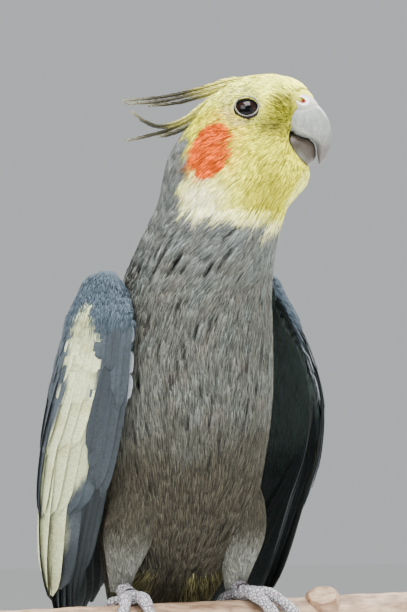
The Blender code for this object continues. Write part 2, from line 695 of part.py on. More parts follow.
def wing_arc(side, height, across):
    """The wing's outer face at a height and a share of its girth: place, way on, way out, thickness."""
    height, across = np.broadcast_arrays(np.asarray(height, float), np.asarray(across, float))
    rows = wing_rows(side)
    place = np.interp(-height.ravel(), -rows[:, 0], np.arange(len(rows)))
    cut = smooth(rows, place)
    lead, most, trail = cut[:, 1:3], cut[:, 3:5], cut[:, 5:7]
    pull = 2 * most - (lead + trail) / 2
    q = np.linspace(0, 1, 33)[:, None, None]
    line = (1 - q) ** 2 * lead + 2 * q * (1 - q) * pull + q * q * trail
    length = np.cumsum(np.linalg.norm(np.diff(line, axis=0), axis=2), axis=0)
    length = np.vstack([np.zeros(len(cut)), length]) / length[-1]
    places = [np.interp(share, length[:, i], q.ravel()) for i, share in enumerate(across.ravel())]
    q = np.array(places)[:, None]
    spot = (1 - q) ** 2 * lead + 2 * q * (1 - q) * pull + q * q * trail
    way = -2 * (1 - q) * lead + 2 * (1 - 2 * q) * pull + 2 * q * trail
    way /= np.linalg.norm(way, axis=1)[:, None]
    flat = np.zeros(len(q))
    points = on_perch(np.stack([side * spot[:, 0], spot[:, 1], height.ravel()], 1))
    on = np.stack([side * way[:, 0], way[:, 1], flat], 1)
    out = np.stack([side * way[:, 1], -way[:, 0], flat], 1)
    return points, on, out, cut[:, 7]


def wing_arm(name, side, end, slices, around=7):
    """The fleshy front of the wing as a curved shell that thins towards its edges and its end."""
    shares = np.linspace(0, 1, around)
    edge = 0.25 + 0.75 * np.sqrt(np.sin(np.pi * shares))
    rings = []
    low = end + ARM_SCOOP * (1 - np.sin(np.pi * shares) ** 0.6)
    for down in np.linspace(0, 1, slices):
        height = RIGHT_WING[0][0] + (low - RIGHT_WING[0][0]) * down
        points, _, out, thick = wing_arc(side, height, shares)
        thin = 0.35 if down == 1 else 1.0
        sunk = 0.3 * thick * (1 - thin)
        inner = points - out * (thick * edge * thin + sunk)[:, None]
        points = points - out * sunk[:, None]
        rings.append(np.vstack([points, inner[::-1]]))
    return loft(name, rings, ladder=True)


def wing_vane(name, side, root, tip, width, lifts, stack, pitch):
    """One wing feather, tilted so that its rear edge lies under the feather behind it."""
    share = np.array(SHORT_STEPS if root[0] - tip[0] < LONG_VANE else LONG_STEPS)
    height = root[0] + (tip[0] - root[0]) * share
    across = root[1] + (tip[1] - root[1]) * share
    points, on, out, _ = wing_arc(side, height, across)
    lift = lifts[0] + (lifts[1] - lifts[0]) * np.interp(share, (0, 0.3, 1), (0, 0.9, 1))
    lift = lift + stack * np.interp(share, (0, 0.5, 1), (0, 1, 1))
    slope = np.minimum(VANE_STEP / np.interp(share, (0, 0.5, 1), pitch), VANE_SLOPE)
    widths = width * np.interp(share, (0, 0.3, 0.86, 1), (0.6, 1, 0.82, 0.25))
    return strip(name, points + out * lift[:, None], widths, on - out * slope[:, None])


def wing_tier(side, name, count, width, lifts, roots, tips):
    """One tier of wing feathers, laid like shingles from the leading edge backwards."""
    share = np.linspace(0, 1, count)[:, None]
    roots = np.array(roots[0]) + (np.array(roots[1]) - roots[0]) * share
    tips = np.array(tips, float)
    vanes = []
    for k in range(count):
        near = k + 1 if k + 1 < count else k - 1
        height = np.linspace(roots[k, 0], tips[k, 0], 3)
        share_near = (height - roots[near, 0]) / (tips[near, 0] - roots[near, 0])
        across = roots[k, 1] + (tips[k, 1] - roots[k, 1]) * np.linspace(0, 1, 3)
        across_near = roots[near, 1] + (tips[near, 1] - roots[near, 1]) * share_near
        apart = wing_arc(side, height, across)[0] - wing_arc(side, height, across_near)[0]
        pitch = np.linalg.norm(apart, axis=1)
        stack = VANE_STACK * (k - (count - 1) / 2) if name == "primary" else 0.0
        vanes.append(wing_vane(f"{name}_{k}", side, roots[k], tips[k], width, lifts, stack, pitch))
    return vanes


def build_wing(name, side):
    """A wing held off the body: the arm, its tiers of feathers, and the shoulder it hangs from."""
    wing = wing_arm(name, side, ARM_END, 7)
    centre = on_perch((side * SHOULDER_AT[0], SHOULDER_AT[1], SHOULDER_AT[2]))
    parts = [ellipsoid("shoulder", centre, SHOULDER_SIZE, 12, 8)]
    for tier in WING_TIERS:
        parts += wing_tier(side, *tier)
    join(wing, parts)
    join(wing, [body_piece("trunk_room", -20.0, 112.0, 14, 26, GAP, CUTTERS)], "DIFFERENCE")
    finish(wing, GREY)


def perch_line(x):
    """The middle and the radius of the branch at a place along it."""
    radius = PERCH_RADIUS + 0.35 * math.sin(x / 17.0) + 0.2 * math.sin(x / 7.3 + 1.0)
    middle = np.array([x, 0.9 * math.sin(x / 40.0), PERCH_RISE * x - radius])
    return middle, radius


def round_perch(x, turn, lift):
    """A point off the branch: place along it, turn from its top to its front, and a lift off its bark."""
    middle, radius = perch_line(x)
    reach = radius + lift
    return on_perch(middle + (0.0, -math.sin(turn) * reach, math.cos(turn) * reach))


def build_perch():
    """The cut length of branch, with the stub of a side shoot."""
    wood = material("pale_bark", (0.55, 0.40, 0.29), 0.8)
    rings = []
    for x in np.linspace(-PERCH_HALF, PERCH_HALF, 12):
        rings.append([round_perch(x, j * 2 * math.pi / 14, 0.0) for j in range(14)])
    perch = loft("perch", rings)
    start, way = on_perch(perch_line(45.0)[0]), np.array([-0.30, -0.52, 0.80])
    way /= np.linalg.norm(way)
    first = np.cross(way, (0, 0, 1.0))
    first /= np.linalg.norm(first)
    second = np.cross(way, first)
    rings = []
    for reach, radius in ((0.0, 4.8), (8.6, 4.9), (10.6, 4.4), (11.0, 3.9)):
        rings.append(
            [
                start + way * reach + radius * (first * math.cos(a) + second * math.sin(a))
                for a in np.arange(14) * 2 * math.pi / 14
            ]
        )
    join(perch, [loft("stub", rings, CUTTERS)])
    finish(perch, wood, 35)


CLAW_TAPER = (0.74, 0.68, 0.52, 0.32, 0.1)
# Toes: start and end of the turn round the branch, outward place at root and at tip, and radius.
RIGHT_TOES = (
    (0.0, 100.0, -1.6, -2.4, 1.9),
    (0.0, 94.0, 1.9, 10.0, 1.8),
    (-8.0, -96.0, -1.8, -4.5, 1.8),
    (-8.0, -82.0, 1.8, 5.5, 1.6),
)
LEFT_TOES = (
    (0.0, 98.0, -1.5, 8.0, 1.9),
    (0.0, 92.0, 1.9, 16.0, 1.8),
    (-8.0, -96.0, -1.8, -4.5, 1.8),
    (-8.0, -82.0, 1.8, 5.0, 1.6),
)


def toe_line(side, toe, steps=9):
    """The middle line of a toe, arched over the branch from the foot's pad to its claw."""
    begin, end, root, tip, radius = toe
    share = np.linspace(0, 1, steps)
    across = side * (FOOT_ACROSS + root * np.clip(share * 4, 0.35, 1) + (tip - root) * share**1.15)
    lift = radius + GAP + 0.9 * np.sin(np.pi * np.clip(share * 1.25, 0, 1)) * (end > 0)
    turn = np.radians(begin + (end - begin) * share)
    radii = radius * (1 + 0.10 * np.cos(share * 2 * math.pi * 3)) * (1 - 0.22 * share)
    return [round_perch(x, t, h) for x, t, h in zip(across, turn, lift)], radii


def claw_line(points):
    """A claw's middle line: it leaves the toe's tip and curls round the branch."""
    points = np.asarray(points)
    way = points[-1] - points[-2]
    way /= np.linalg.norm(way)
    middle = on_perch((points[-1][0], 0.0, -PERCH_RADIUS))
    inward = middle - points[-1]
    inward -= inward.dot(way) * way
    inward /= np.linalg.norm(inward)
    start = points[-1] + way * GAP
    reach = np.linspace(0, 1, 5)[:, None]
    return start + way * 6.0 * reach + inward * 1.7 * reach**2


def thigh_solid(name, side, grow=0.0, group=None):
    """The feathered upper leg, from the flank to the bare shank."""
    rows = smooth(THIGH, np.linspace(0, len(THIGH) - 1, 7))
    rows[-1, 2] -= grow
    rings = []
    for across, along, height, radius in rows:
        reach = radius + grow
        angle = np.arange(14) * 2 * math.pi / 14
        x = side * across + reach * np.cos(angle)
        rings.append(on_perch(np.stack([x, along + reach * np.sin(angle), np.full(14, height)], 1)))
    return loft(name, rings, group)


def build_thigh(name, side):
    """A thigh cut clear of the flank it stands in."""
    thigh = thigh_solid(name, side)
    join(thigh, [body_piece("flank_room", -20.0, 112.0, 18, 28, GAP, CUTTERS)], "DIFFERENCE")
    finish(thigh, GREY)


def build_foot(word, side, toes):
    """A bare foot gripping the branch: shank, pad and four toes, and a claw on each."""
    pad = round_perch(side * FOOT_ACROSS, 0.0, 2.3)
    ankle = on_perch((side * THIGH[-1][0], THIGH[-1][1] + 1.0, THIGH[-1][2] + 1.0))
    middle = (pad + ankle) / 2 + (0.0, 0.6, 0.4)
    foot = tube(f"foot_{word}", [ankle, middle, pad, pad + (0, -0.8, 0.1)], [2.5, 2.3, 2.6, 1.4])
    pieces = []
    for number, toe in enumerate(toes):
        points, radii = toe_line(side, toe)
        pieces.append(tube(f"toe_{number}", points, radii))
        line = claw_line(points)
        claw = tube(f"claw_{word}_{number + 1}", line, radii[-1] * np.array(CLAW_TAPER))
        finish(claw, CLAW)
    join(foot, pieces)
    join(foot, [thigh_solid("thigh_room", side, GAP, CUTTERS)], "DIFFERENCE")
    finish(foot, SKIN)


def build_stand():
    """A round turned base and two rods that carry the branch."""
    wood = material("turned_wood", (0.20, 0.11, 0.06), 0.45)
    steel = material("brushed_rod", (0.55, 0.55, 0.55), 0.35, 1.0)
    edge = BASE_RADIUS
    profile = ((0, BASE_THICK), (edge - 4, BASE_THICK), (edge - 1.5, BASE_THICK - 0.6))
    profile += ((edge, BASE_THICK - 2.6), (edge, 1.2), (edge - 1.5, 0), (0, 0))
    points = [(radius, 0, height) for radius, height in profile]
    base = object_from("stand_base", points, [])
    mesh = bmesh.new()
    mesh.from_mesh(base.data)
    mesh.verts.ensure_lookup_table()
    for i in range(len(points) - 1):
        mesh.edges.new((mesh.verts[i], mesh.verts[i + 1]))
    mesh.to_mesh(base.data)
    mesh.free()
    turn = base.modifiers.new("turned", "SCREW")
    turn.steps = 32
    turn.render_steps = 32
    turn.use_merge_vertices = True
    turn.merge_threshold = 0.00001
    bpy.context.view_layer.update()
    finish(turned_out(freeze(base)), wood, 30)
    for word, side in (("right", -1), ("left", 1)):
        middle, radius = perch_line(side * ROD_ACROSS)
        low = BASE_THICK + GAP
        high = on_perch(middle)[2] - radius - GAP
        mesh = bmesh.new()
        bmesh.ops.create_cone(
            mesh,
            cap_ends=True,
            segments=16,
            radius1=ROD_RADIUS * MM,
            radius2=ROD_RADIUS * MM,
            depth=(high - low) * MM,
        )
        data = bpy.data.meshes.new(f"stand_rod_{word}")
        mesh.to_mesh(data)
        mesh.free()
        rod = bpy.data.objects.new(f"stand_rod_{word}", data)
        rod.location = (side * ROD_ACROSS * MM, (PERCH_Y + middle[1]) * MM, (low + high) / 2 * MM)
        BIRD.objects.link(rod)
        finish(rod, steel)


build_trunk()
build_head()
build_tail()
for word, side, toes in (("right", -1, RIGHT_TOES), ("left", 1, LEFT_TOES)):
    build_wing(f"wing_{word}", side)
    build_thigh(f"thigh_{word}", side)
    build_foot(word, side, toes)
build_perch()
build_stand()
bpy.data.collections.remove(CUTTERS)
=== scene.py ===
import math

import bpy
import numpy as np
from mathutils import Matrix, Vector


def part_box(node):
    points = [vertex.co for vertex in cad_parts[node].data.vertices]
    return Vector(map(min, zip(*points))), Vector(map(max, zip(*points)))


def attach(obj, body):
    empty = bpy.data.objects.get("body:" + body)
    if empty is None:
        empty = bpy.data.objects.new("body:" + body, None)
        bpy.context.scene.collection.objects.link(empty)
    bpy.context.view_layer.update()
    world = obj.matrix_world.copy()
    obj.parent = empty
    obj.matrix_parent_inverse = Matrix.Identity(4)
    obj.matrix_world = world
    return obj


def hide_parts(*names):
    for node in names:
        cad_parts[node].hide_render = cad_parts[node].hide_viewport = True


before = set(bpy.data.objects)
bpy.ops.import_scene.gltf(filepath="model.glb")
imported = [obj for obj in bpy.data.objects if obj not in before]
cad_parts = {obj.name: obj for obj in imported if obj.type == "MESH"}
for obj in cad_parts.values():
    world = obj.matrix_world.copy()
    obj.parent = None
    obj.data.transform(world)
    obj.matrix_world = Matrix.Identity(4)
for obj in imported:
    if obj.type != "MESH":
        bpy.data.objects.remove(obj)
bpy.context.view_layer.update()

# The bird's body under its feathers.
# Trunk, neck and turned head are one living skin, so they are one closed surface here, with both
# thighs fused to it. It lies a coat's depth inside the solids, and the feathers root in it.
PERCH_TOP_PLACE = (0.0, -12.0, 148.0)
HEAD_TURN = math.radians(62.0)
HEAD_CENTRE = np.array((8.0, -24.0, 139.0))
AHEAD = np.array((math.sin(HEAD_TURN), -math.cos(HEAD_TURN), 0.0))
ASIDE = np.array((math.cos(HEAD_TURN), math.sin(HEAD_TURN), 0.0))
UP = np.array((0.0, 0.0, 1.0))
# Level slices: height, middle across, middle along, half width, front reach, back reach, turn, narrowing.
TRUNK = (
    (-24.0, 0.0, 26.5, 6.5, 3.6, 3.8, 0.0, 0.0),
    (-12.0, 0.0, 21.5, 11.0, 7.0, 7.0, 0.0, 0.0),
    (0.0, 0.0, 17.0, 15.5, 8.5, 10.5, 0.0, 0.0),
    (10.0, 0.0, 12.5, 19.5, 13.0, 14.0, 0.0, 0.0),
    (22.0, 0.0, 7.5, 22.8, 18.0, 18.5, 0.0, 0.0),
    (38.0, 0.0, 2.5, 24.0, 22.0, 21.5, 0.0, 0.0),
    (57.0, 0.0, -2.0, 24.0, 23.5, 22.5, 0.0, 0.0),
    (75.0, -0.3, -5.5, 22.8, 22.6, 22.4, 5.0, 0.0),
    (89.0, -1.0, -8.4, 21.9, 21.5, 22.2, 12.0, 0.0),
    (102.0, 0.2, -13.6, 19.7, 19.9, 20.0, 28.0, 0.02),
    (112.0, 2.0, -18.5, 17.7, 18.4, 18.3, 46.0, 0.05),
)
# The head's slices: height over its centre, front reach, back reach, half width, narrowing.
HEAD = (
    (-20.0, 14.3, -23.2, 16.4, 0.10),
    (-15.0, 15.2, -21.8, 15.5, 0.14),
    (-10.0, 14.6, -19.9, 14.6, 0.18),
    (-5.0, 15.0, -17.3, 13.8, 0.22),
    (-0.5, 17.0, -14.4, 12.8, 0.24),
    (3.2, 18.6, -12.0, 11.6, 0.24),
    (6.3, 18.2, -9.2, 10.0, 0.18),
    (8.9, 15.4, -5.6, 7.6, 0.10),
    (10.7, 11.0, -0.8, 4.5, 0.04),
    (11.4, 5.2, 5.2, 0.0, 0.0),
)
# The coat's depth over a thigh.
THIGH_COAT = 0.9
# How much faster the face narrows towards the bill than the head does as a whole.
FACE_TAPER = 1.6
# The thigh down the leg: across, along, height, radius.
THIGH = (
    (12.5, 0.8, 40.0, 7.0),
    (15.2, -0.4, 30.0, 8.6),
    (17.6, 0.8, 20.0, 7.8),
    (18.4, 3.0, 11.4, 5.1),
    (18.5, 4.6, 6.8, 3.7),
    (18.5, 5.0, 3.0, 2.9),
)


def smooth(rows, at):
    """Rows of sizes at fractional places, on the Catmull-Rom curve through every row."""
    rows = np.asarray(rows, float)
    padded = np.vstack([2 * rows[0] - rows[1], rows, 2 * rows[-1] - rows[-2]])
    at = np.clip(np.atleast_1d(np.asarray(at, float)), 0, len(rows) - 1)
    i = np.minimum(at.astype(int), len(rows) - 2)
    t = (at - i)[..., None]
    p0, p1, p2, p3 = (padded[i + k] for k in range(4))
    return 0.5 * (2 * p1 + (p2 - p0) * t + (2 * p0 - 5 * p1 + 4 * p2 - p3) * t**2
                  + (3 * p1 - p0 - 3 * p2 + p3) * t**3)


def unit(vectors):
    """Each vector divided by its own length."""
    return vectors / np.maximum(np.linalg.norm(vectors, axis=-1, keepdims=True), 1e-9)


def dot(a, b):
    """The dot product along the last axis, kept as a column."""
    return (a * b).sum(-1, keepdims=True)


def square_to(way, other):
    """The part of each way that is square to another unit way, at unit length."""
    return unit(way - dot(way, other) * other)


def linear(code):
    """An sRGB hex colour as linear light: ((c + 0.055) / 1.055) ** 2.4, or c / 12.92 near black."""
    c = np.array([int(code[i:i + 2], 16) for i in (1, 3, 5)]) / 255
    return np.where(c <= 0.04045, c / 12.92, ((c + 0.055) / 1.055) ** 2.4)


def head_rows():
    """The head's slices as trunk slices: their middle moved along the way the bill points."""
    height, front, back, half, narrow = np.array(HEAD).T
    middle = HEAD_CENTRE[:2] + ((front + back) / 2)[:, None] * AHEAD[:2]
    reach = (front - back) / 2
    turn = np.full(len(HEAD), math.degrees(HEAD_TURN))
    return np.stack([HEAD_CENTRE[2] + height, *middle.T, half, reach, reach, turn, narrow], 1)


BODY = np.vstack([TRUNK, head_rows()])
FINE = np.linspace(0, len(BODY) - 1, 2001)
FINE_HEIGHT = smooth(BODY, FINE)[:, 0]


def body_place(height):
    """The place along the slices at a height."""
    return np.interp(height, FINE_HEIGHT, FINE)


def body_surface(place, angle, sink=0.0):
    """An egg: reach times cos(angle) ahead, half width times sin(angle) aside, turned about its middle."""
    place, angle, sink = np.broadcast_arrays(np.asarray(place, float), angle, sink)
    height, across, along, half, front, back, turn, narrow = np.moveaxis(smooth(BODY, place), -1, 0)
    ahead = np.where(np.cos(angle) > 0, front - sink, back - sink) * np.cos(angle)
    drawn_in = narrow * np.cos(angle) + FACE_TAPER * narrow * np.maximum(np.cos(angle), 0) ** 2
    aside = np.maximum(half - sink, 0) * np.sin(angle) * (1 - drawn_in)
    turn = np.radians(turn)
    x = across + ahead * np.sin(turn) + aside * np.cos(turn)
    y = along - ahead * np.cos(turn) + aside * np.sin(turn)
    return np.stack([x, y, height - sink * rise(height, 142.0, 149.0)], -1)


def rise(value, low, high):
    """A smooth step from 0 at low to 1 at high."""
    t = np.clip((value - low) / (high - low), 0, 1)
    return t * t * (3 - 2 * t)


def skin_surface(place, angle):
    """The skin: a coat's depth inside the feathers' outer face, and deeper where the bill is rooted."""
    place, angle = np.broadcast_arrays(np.asarray(place, float), angle)
    height = smooth(BODY, place)[..., 0]
    bill = rise(np.cos(angle), 0.76, 0.92) * rise(height, 128.0, 133.0) * (1 - rise(height, 139.5, 142.5))
    chin = np.exp(-((height - 120.5) / 5.5) ** 2) * rise(np.cos(angle), 0.5, 0.95)
    depth = np.interp(height, (100.0, 118.0, 150.0), (1.0, 0.75, 0.5))
    nape = np.exp(-((height - 125.0) / 13.0) ** 2) * rise(-np.cos(angle), 0.2, 0.9)
    brow = np.exp(-((height - 145.8) / 2.4) ** 2) * rise(np.cos(angle), 0.4, 0.95)
    return body_surface(place, angle, depth + 3.0 * bill + 0.7 * brow - 2.2 * chin - 2.5 * nape)


def in_stand(points):
    """Millimetres counted from the top of the perch, as metres from the middle of the base."""
    return (np.asarray(points, float) + PERCH_TOP_PLACE) * 0.001


def lofted(rings, ends=None):
    """Points and faces of closed forms: rings (form, station, around) joined by quads, a fan at each end."""
    forms, stations, around, _ = rings.shape
    if ends is None:
        ends = rings[:, (0, -1)].mean(2)
    points = np.concatenate([rings.reshape(forms, -1, 3), ends], 1)
    i, j = np.meshgrid(np.arange(stations - 1) * around, np.arange(around), indexing="ij")
    k = (j + 1) % around
    quads = np.stack([i + j, i + k, i + k + around, i + j + around], -1).reshape(-1, 4)
    j = np.arange(around)
    k = (j + 1) % around
    low, last = stations * around, (stations - 1) * around
    near_fan = np.stack([j * 0 + low, k, j], 1)
    far_fan = np.stack([j * 0 + low + 1, last + j, last + k], 1)
    fans = np.concatenate([near_fan, far_fan])
    shift = (np.arange(forms) * (low + 2))[:, None, None]
    return points.reshape(-1, 3), [(quads + shift).reshape(-1, 4), (fans + shift).reshape(-1, 3)]


def grid(along, around):
    """Places along a form, each with even angles all round it."""
    return np.meshgrid(along, np.arange(around) * 2 * math.pi / around, indexing="ij")


def floats(values):
    """An array as the flat list of short floats that a mesh takes."""
    return np.asarray(values).astype(np.float32).ravel()


def with_alpha(colours):
    """Colours between 0 and 1, with full cover as their fourth value."""
    return np.concatenate([np.clip(colours, 0, 1), np.ones((len(colours), 1))], 1)


def put(name, data):
    """A new object in the scene."""
    made = bpy.data.objects.new(name, data)
    bpy.context.scene.collection.objects.link(made)
    return made


def mesh_piece(name, points, faces, look, colours=None, patches=None, barbs=None, sharp=None):
    """A mesh from arrays, in the stand's frame, turned outwards if its signed volume is below zero."""
    points = in_stand(points)
    fans = [f[:, (0, i, i + 1)] for f in faces for i in range(1, f.shape[1] - 1)]
    a, b, c = (points[np.concatenate(fans)[:, i]] for i in range(3))
    if (a * np.cross(b, c)).sum() < 0:
        faces = [f[:, ::-1] for f in faces]
    corners = np.concatenate([f.ravel() for f in faces]).astype(np.int32)
    sizes = np.concatenate([np.full(len(f), f.shape[1]) for f in faces])
    mesh = bpy.data.meshes.new(name)
    mesh.vertices.add(len(points))
    mesh.vertices.foreach_set("co", floats(points))
    mesh.loops.add(len(corners))
    mesh.polygons.add(len(sizes))
    mesh.polygons.foreach_set("loop_start", np.concatenate([[0], np.cumsum(sizes)[:-1]]).astype(np.int32))
    mesh.loops.foreach_set("vertex_index", corners)
    mesh.update(calc_edges=True)
    if colours is not None:
        layer = mesh.color_attributes.new("plumage", "FLOAT_COLOR", "POINT")
        layer.data.foreach_set("color", floats(with_alpha(colours)))
    if barbs is not None:
        layer = mesh.attributes.new("barb", "FLOAT_VECTOR", "POINT")
        layer.data.foreach_set("vector", floats(barbs))
    if patches is not None:
        mesh.uv_layers.new(name="OFBake").data.foreach_set("uv", floats(patches[corners]))
    mesh.shade_smooth()
    if sharp:
        mesh.set_sharp_from_angle(angle=math.radians(sharp))
    mesh.materials.append(look)
    return put(name, mesh)


def keep(piece, slot, *nodes):
    """The piece rides with the still body and stands for these solids. Its slot is not used."""
    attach(piece, "root")
    if nodes:
        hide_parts(*nodes)
    return piece


def add(look, kind, links=(), **settings):
    """One node: settings name its properties or sockets, and links join (socket, node, output)."""
    node = look.node_tree.nodes.new("ShaderNode" + kind)
    for name, value in settings.items():
        if hasattr(node, name):
            setattr(node, name, value)
        else:
            node.inputs[name.replace("_", " ")].default_value = value
    for socket, other, output in links:
        look.node_tree.links.new(other.outputs[output], node.inputs[socket])
    return node


def finish_look(name, roughness, **settings):
    """A new Principled material: returns it and its shader. Its colour and bump are linked afterwards."""
    look = bpy.data.materials.new(name)
    look.use_nodes = True
    shader = look.node_tree.nodes["Principled BSDF"]
    shader.inputs["Roughness"].default_value = roughness
    for socket, value in settings.items():
        shader.inputs[socket.replace("_", " ")].default_value = value
    return look, shader


def join_sockets(look, source, output, target, socket):
    """A link between two nodes of one material."""
    look.node_tree.links.new(source.outputs[output], target.inputs[socket])


def grain_of(look, kind="TexNoise", stretch=None, **settings):
    """A texture laid by the piece's own metres, and drawn out along an axis where a stretch is given."""
    place, output = add(look, "TexCoord"), "Object"
    if stretch:
        place, output = add(look, "Mapping", [("Vector", place, "Object")], Scale=stretch), "Vector"
    return add(look, kind, [("Vector", place, output)], **settings)


def tint_by(look, shader, grain, low, high):
    """The piece's own colour, made darker and lighter between two levels by a grain."""
    colour = add(look, "Attribute", attribute_name="plumage")
    level = add(look, "MapRange", [("Value", grain, "Fac")],
                From_Min=0.3, From_Max=0.7, To_Min=low, To_Max=high)
    tint = add(look, "VectorMath", [("Vector", colour, "Color"), ("Scale", level, "Result")],
               operation="SCALE")
    join_sockets(look, tint, "Vector", shader, "Base Color")


def bump_by(look, shader, source, output, strength, distance):
    """Relief from a texture, its depth in metres."""
    bump = add(look, "Bump", [("Height", source, output)], Strength=strength, Distance=distance)
    join_sockets(look, bump, "Normal", shader, "Normal")


def wave(points, size, seed):
    """Smooth mottling from -1 to 1: the mean of nine sines of random direction, about a size long."""
    draw = np.random.default_rng(seed)
    way = unit(draw.normal(size=(9, 3))) * draw.uniform(0.7, 1.5, (9, 1)) * 2 * math.pi / size
    return np.clip(np.sin(points @ way.T + draw.uniform(0, 6.28, 9)).mean(-1) * 2.1, -1, 1)


def blend(colours, code, share):
    """Colours moved by a share towards one hex colour."""
    return colours + (linear(code) - colours) * np.asarray(share)[..., None]


def head_frame(points):
    """Places in the head's own frame: ahead, up and aside, from its centre."""
    gone = points - HEAD_CENTRE
    return gone @ AHEAD, gone[..., 2], gone @ ASIDE


# Places in the head's frame, ahead and up: the eye, and the orange patch with its half length and width.
EYE_AT = np.array((-1.1, 1.9))
CHEEK_AT, CHEEK_HALF = (-9.3, -9.7), (8.4, 5.8)
CHEEK_LEAN = math.radians(58.0)


def cheek_ring(ahead, up):
    """The orange patch's leaning oval: (long / its half) ** 2 + (short / its half) ** 2 is 1 at its edge."""
    ahead, up = ahead - CHEEK_AT[0], up - CHEEK_AT[1]
    long = ahead * math.cos(CHEEK_LEAN) + up * math.sin(CHEEK_LEAN)
    short = ahead * math.sin(CHEEK_LEAN) - up * math.cos(CHEEK_LEAN)
    return (long / CHEEK_HALF[0]) ** 2 + (short / CHEEK_HALF[1]) ** 2


def hump(ahead, up, middle, reach):
    """A soft round spot: exp(-(ahead / reach) ** 2 - (up / reach) ** 2) about its middle."""
    return np.exp(-((ahead - middle[0]) / reach[0]) ** 2 - ((up - middle[1]) / reach[1]) ** 2)


def body_colour(points):
    """Grey-brown with paler and browner clouds: pale at the neck, darker and browner down the belly, partly
    its own colour and partly painted shade on the underside, olive at the vent.
    """
    height, back = points[..., 2], points[..., 1]
    tall = points * (1, 1, 1.6)
    colours = np.broadcast_to(linear("#545650"), points.shape)
    colours = blend(colours, "#666A68", rise(height, 84, 108) * 0.7)
    colours = blend(colours, "#5E686A", 0.22 * rise(wave(tall, 9.0, 1), 0.0, 0.8))
    colours = blend(colours, "#564D45", 0.3 * rise(wave(tall, 11.0, 2), 0.1, 0.8))
    # Darker and browner down the belly: partly the plumage's own colour, partly painted shade on the
    # underside.
    colours = blend(colours, "#37342A", 0.93 * rise(-height + 4 * wave(points, 14.0, 19), -64, -38))
    middle = np.exp(-(points[..., 0] / 9.0) ** 2)
    colours = blend(colours, "#45422E", middle * rise(-height, -12, -2) * rise(-back, -16, -8) * 0.6)
    return blend(colours, "#555658", 0.6 * rise(back, 8.0, 20.0) * rise(height, 6.0, 30.0))


def face_colour(points, ahead, up, collar):
    """Yellow, white at the rear and the hem, olive at throat, gape and lores, with the orange cheek, and a
    painted rim of light along the throat's front edge.
    """
    face = np.broadcast_to(linear("#D2CF2C"), points.shape)
    face = blend(face, "#FFFFB8", hump(ahead, up, (-13, -22), (8, 7)))
    face = blend(face, "#9E9A22", 0.85 * hump(ahead, up, (7, -20), (7, 11)))
    face = blend(face, "#FFFF72", 0.9 * rise(up, 0.0, 8.0))
    face = blend(face, "#FFFFB4", 0.8 * rise(collar - up, -4.5, -0.5))
    # The pale band along the throat's front edge is a painted rim of light.
    front = np.interp(up, (-31, -25.7, -20, -15), (9.1, 11.7, 14.0, 15.1))
    face = blend(face, "#FFFF9C", 0.5 * rise(ahead - front, -1.2, -0.2) * rise(-up, 13, 16))
    face = blend(face, "#6C6830", 0.9 * hump(ahead, up, (7.0, -3.4), (5.0, 2.6)))
    lores = hump(ahead, up, (9.8, 1.8), (3.4, 4.8))
    face = blend(face, "#292406", 0.98 * np.clip(lores * (0.8 + 0.4 * wave(points, 1.6, 5)), 0, 1))
    face = face * (1 - 0.5 * lores * rise(wave(points, 1.1, 71), -0.6, 0.6))[..., None]
    ring = cheek_ring(ahead, up)
    warm = rise(ring, 0.9, 1.3) * (1 - rise(ring, 1.3, 3.0)) * rise(ahead + 0.4 * up, -16, -8)
    face = blend(face, "#E0A226", 0.4 * warm)
    from_eye = np.hypot(ahead - EYE_AT[0], up - EYE_AT[1])
    face = blend(face, "#8C8A70", 0.6 * np.exp(-((from_eye - 4.4) / 1.2) ** 2))
    return blend(face, "#C24E00", 1 - rise(ring + 0.16 * wave(points, 2.2, 6), 0.82, 1.12))


def plumage(points):
    """The coat's colour where a feather roots: the body's, and the face's inside the mask's ragged edge."""
    ahead, up, _ = head_frame(points)
    wobble = 1.3 * wave(points, 6.0, 3) + 0.8 * wave(points, 2.6, 4)
    nape = np.interp(up, (-34, -27, -18.5, -14, -5, 1.4, 12),
                     (-18.2, -18.8, -18.2, -16.8, -16.8, -14.2, -12.4))
    collar = np.interp(ahead, (-20, 9), (-26.0, -30.0))
    mask = rise(ahead - nape + wobble, -0.6, 0.8) * rise(up - collar + wobble, -0.8, 0.8)
    colours = body_colour(points)
    return colours + (face_colour(points, ahead, up, collar) - colours) * mask[..., None]


def unwrap(points, band=0):
    """A place on the bake sheet: the angle round the slice and the place up the slices, or a thigh's band."""
    place = body_place(points[..., 2])
    middle = smooth(BODY, place)[..., 1:3]
    angle = np.arctan2(points[..., 0] - middle[..., 0], middle[..., 1] - points[..., 1])
    if band:
        return np.stack([0.79 + 0.1 * band + 0.012 * angle, 0.02 + 0.011 * (points[..., 2] + 5)], -1)
    return np.stack([0.40 + 0.12 * angle, 0.01 + 0.97 * place / (len(BODY) - 1)], -1)


def thigh_surface(side, place, angle, sink=0.0):
    """A limb: circles of the thigh's radius about its middle line."""
    place, angle = np.broadcast_arrays(np.asarray(place, float), angle)
    across, along, height, radius = np.moveaxis(smooth(THIGH, place), -1, 0)
    return np.stack([side * across + (radius - sink) * np.cos(angle),
                     along + (radius - sink) * np.sin(angle), height], -1)


PLUMAGE, plumage_shader = finish_look("contour_feather_keratin", 0.72, Specular_IOR_Level=0.12)
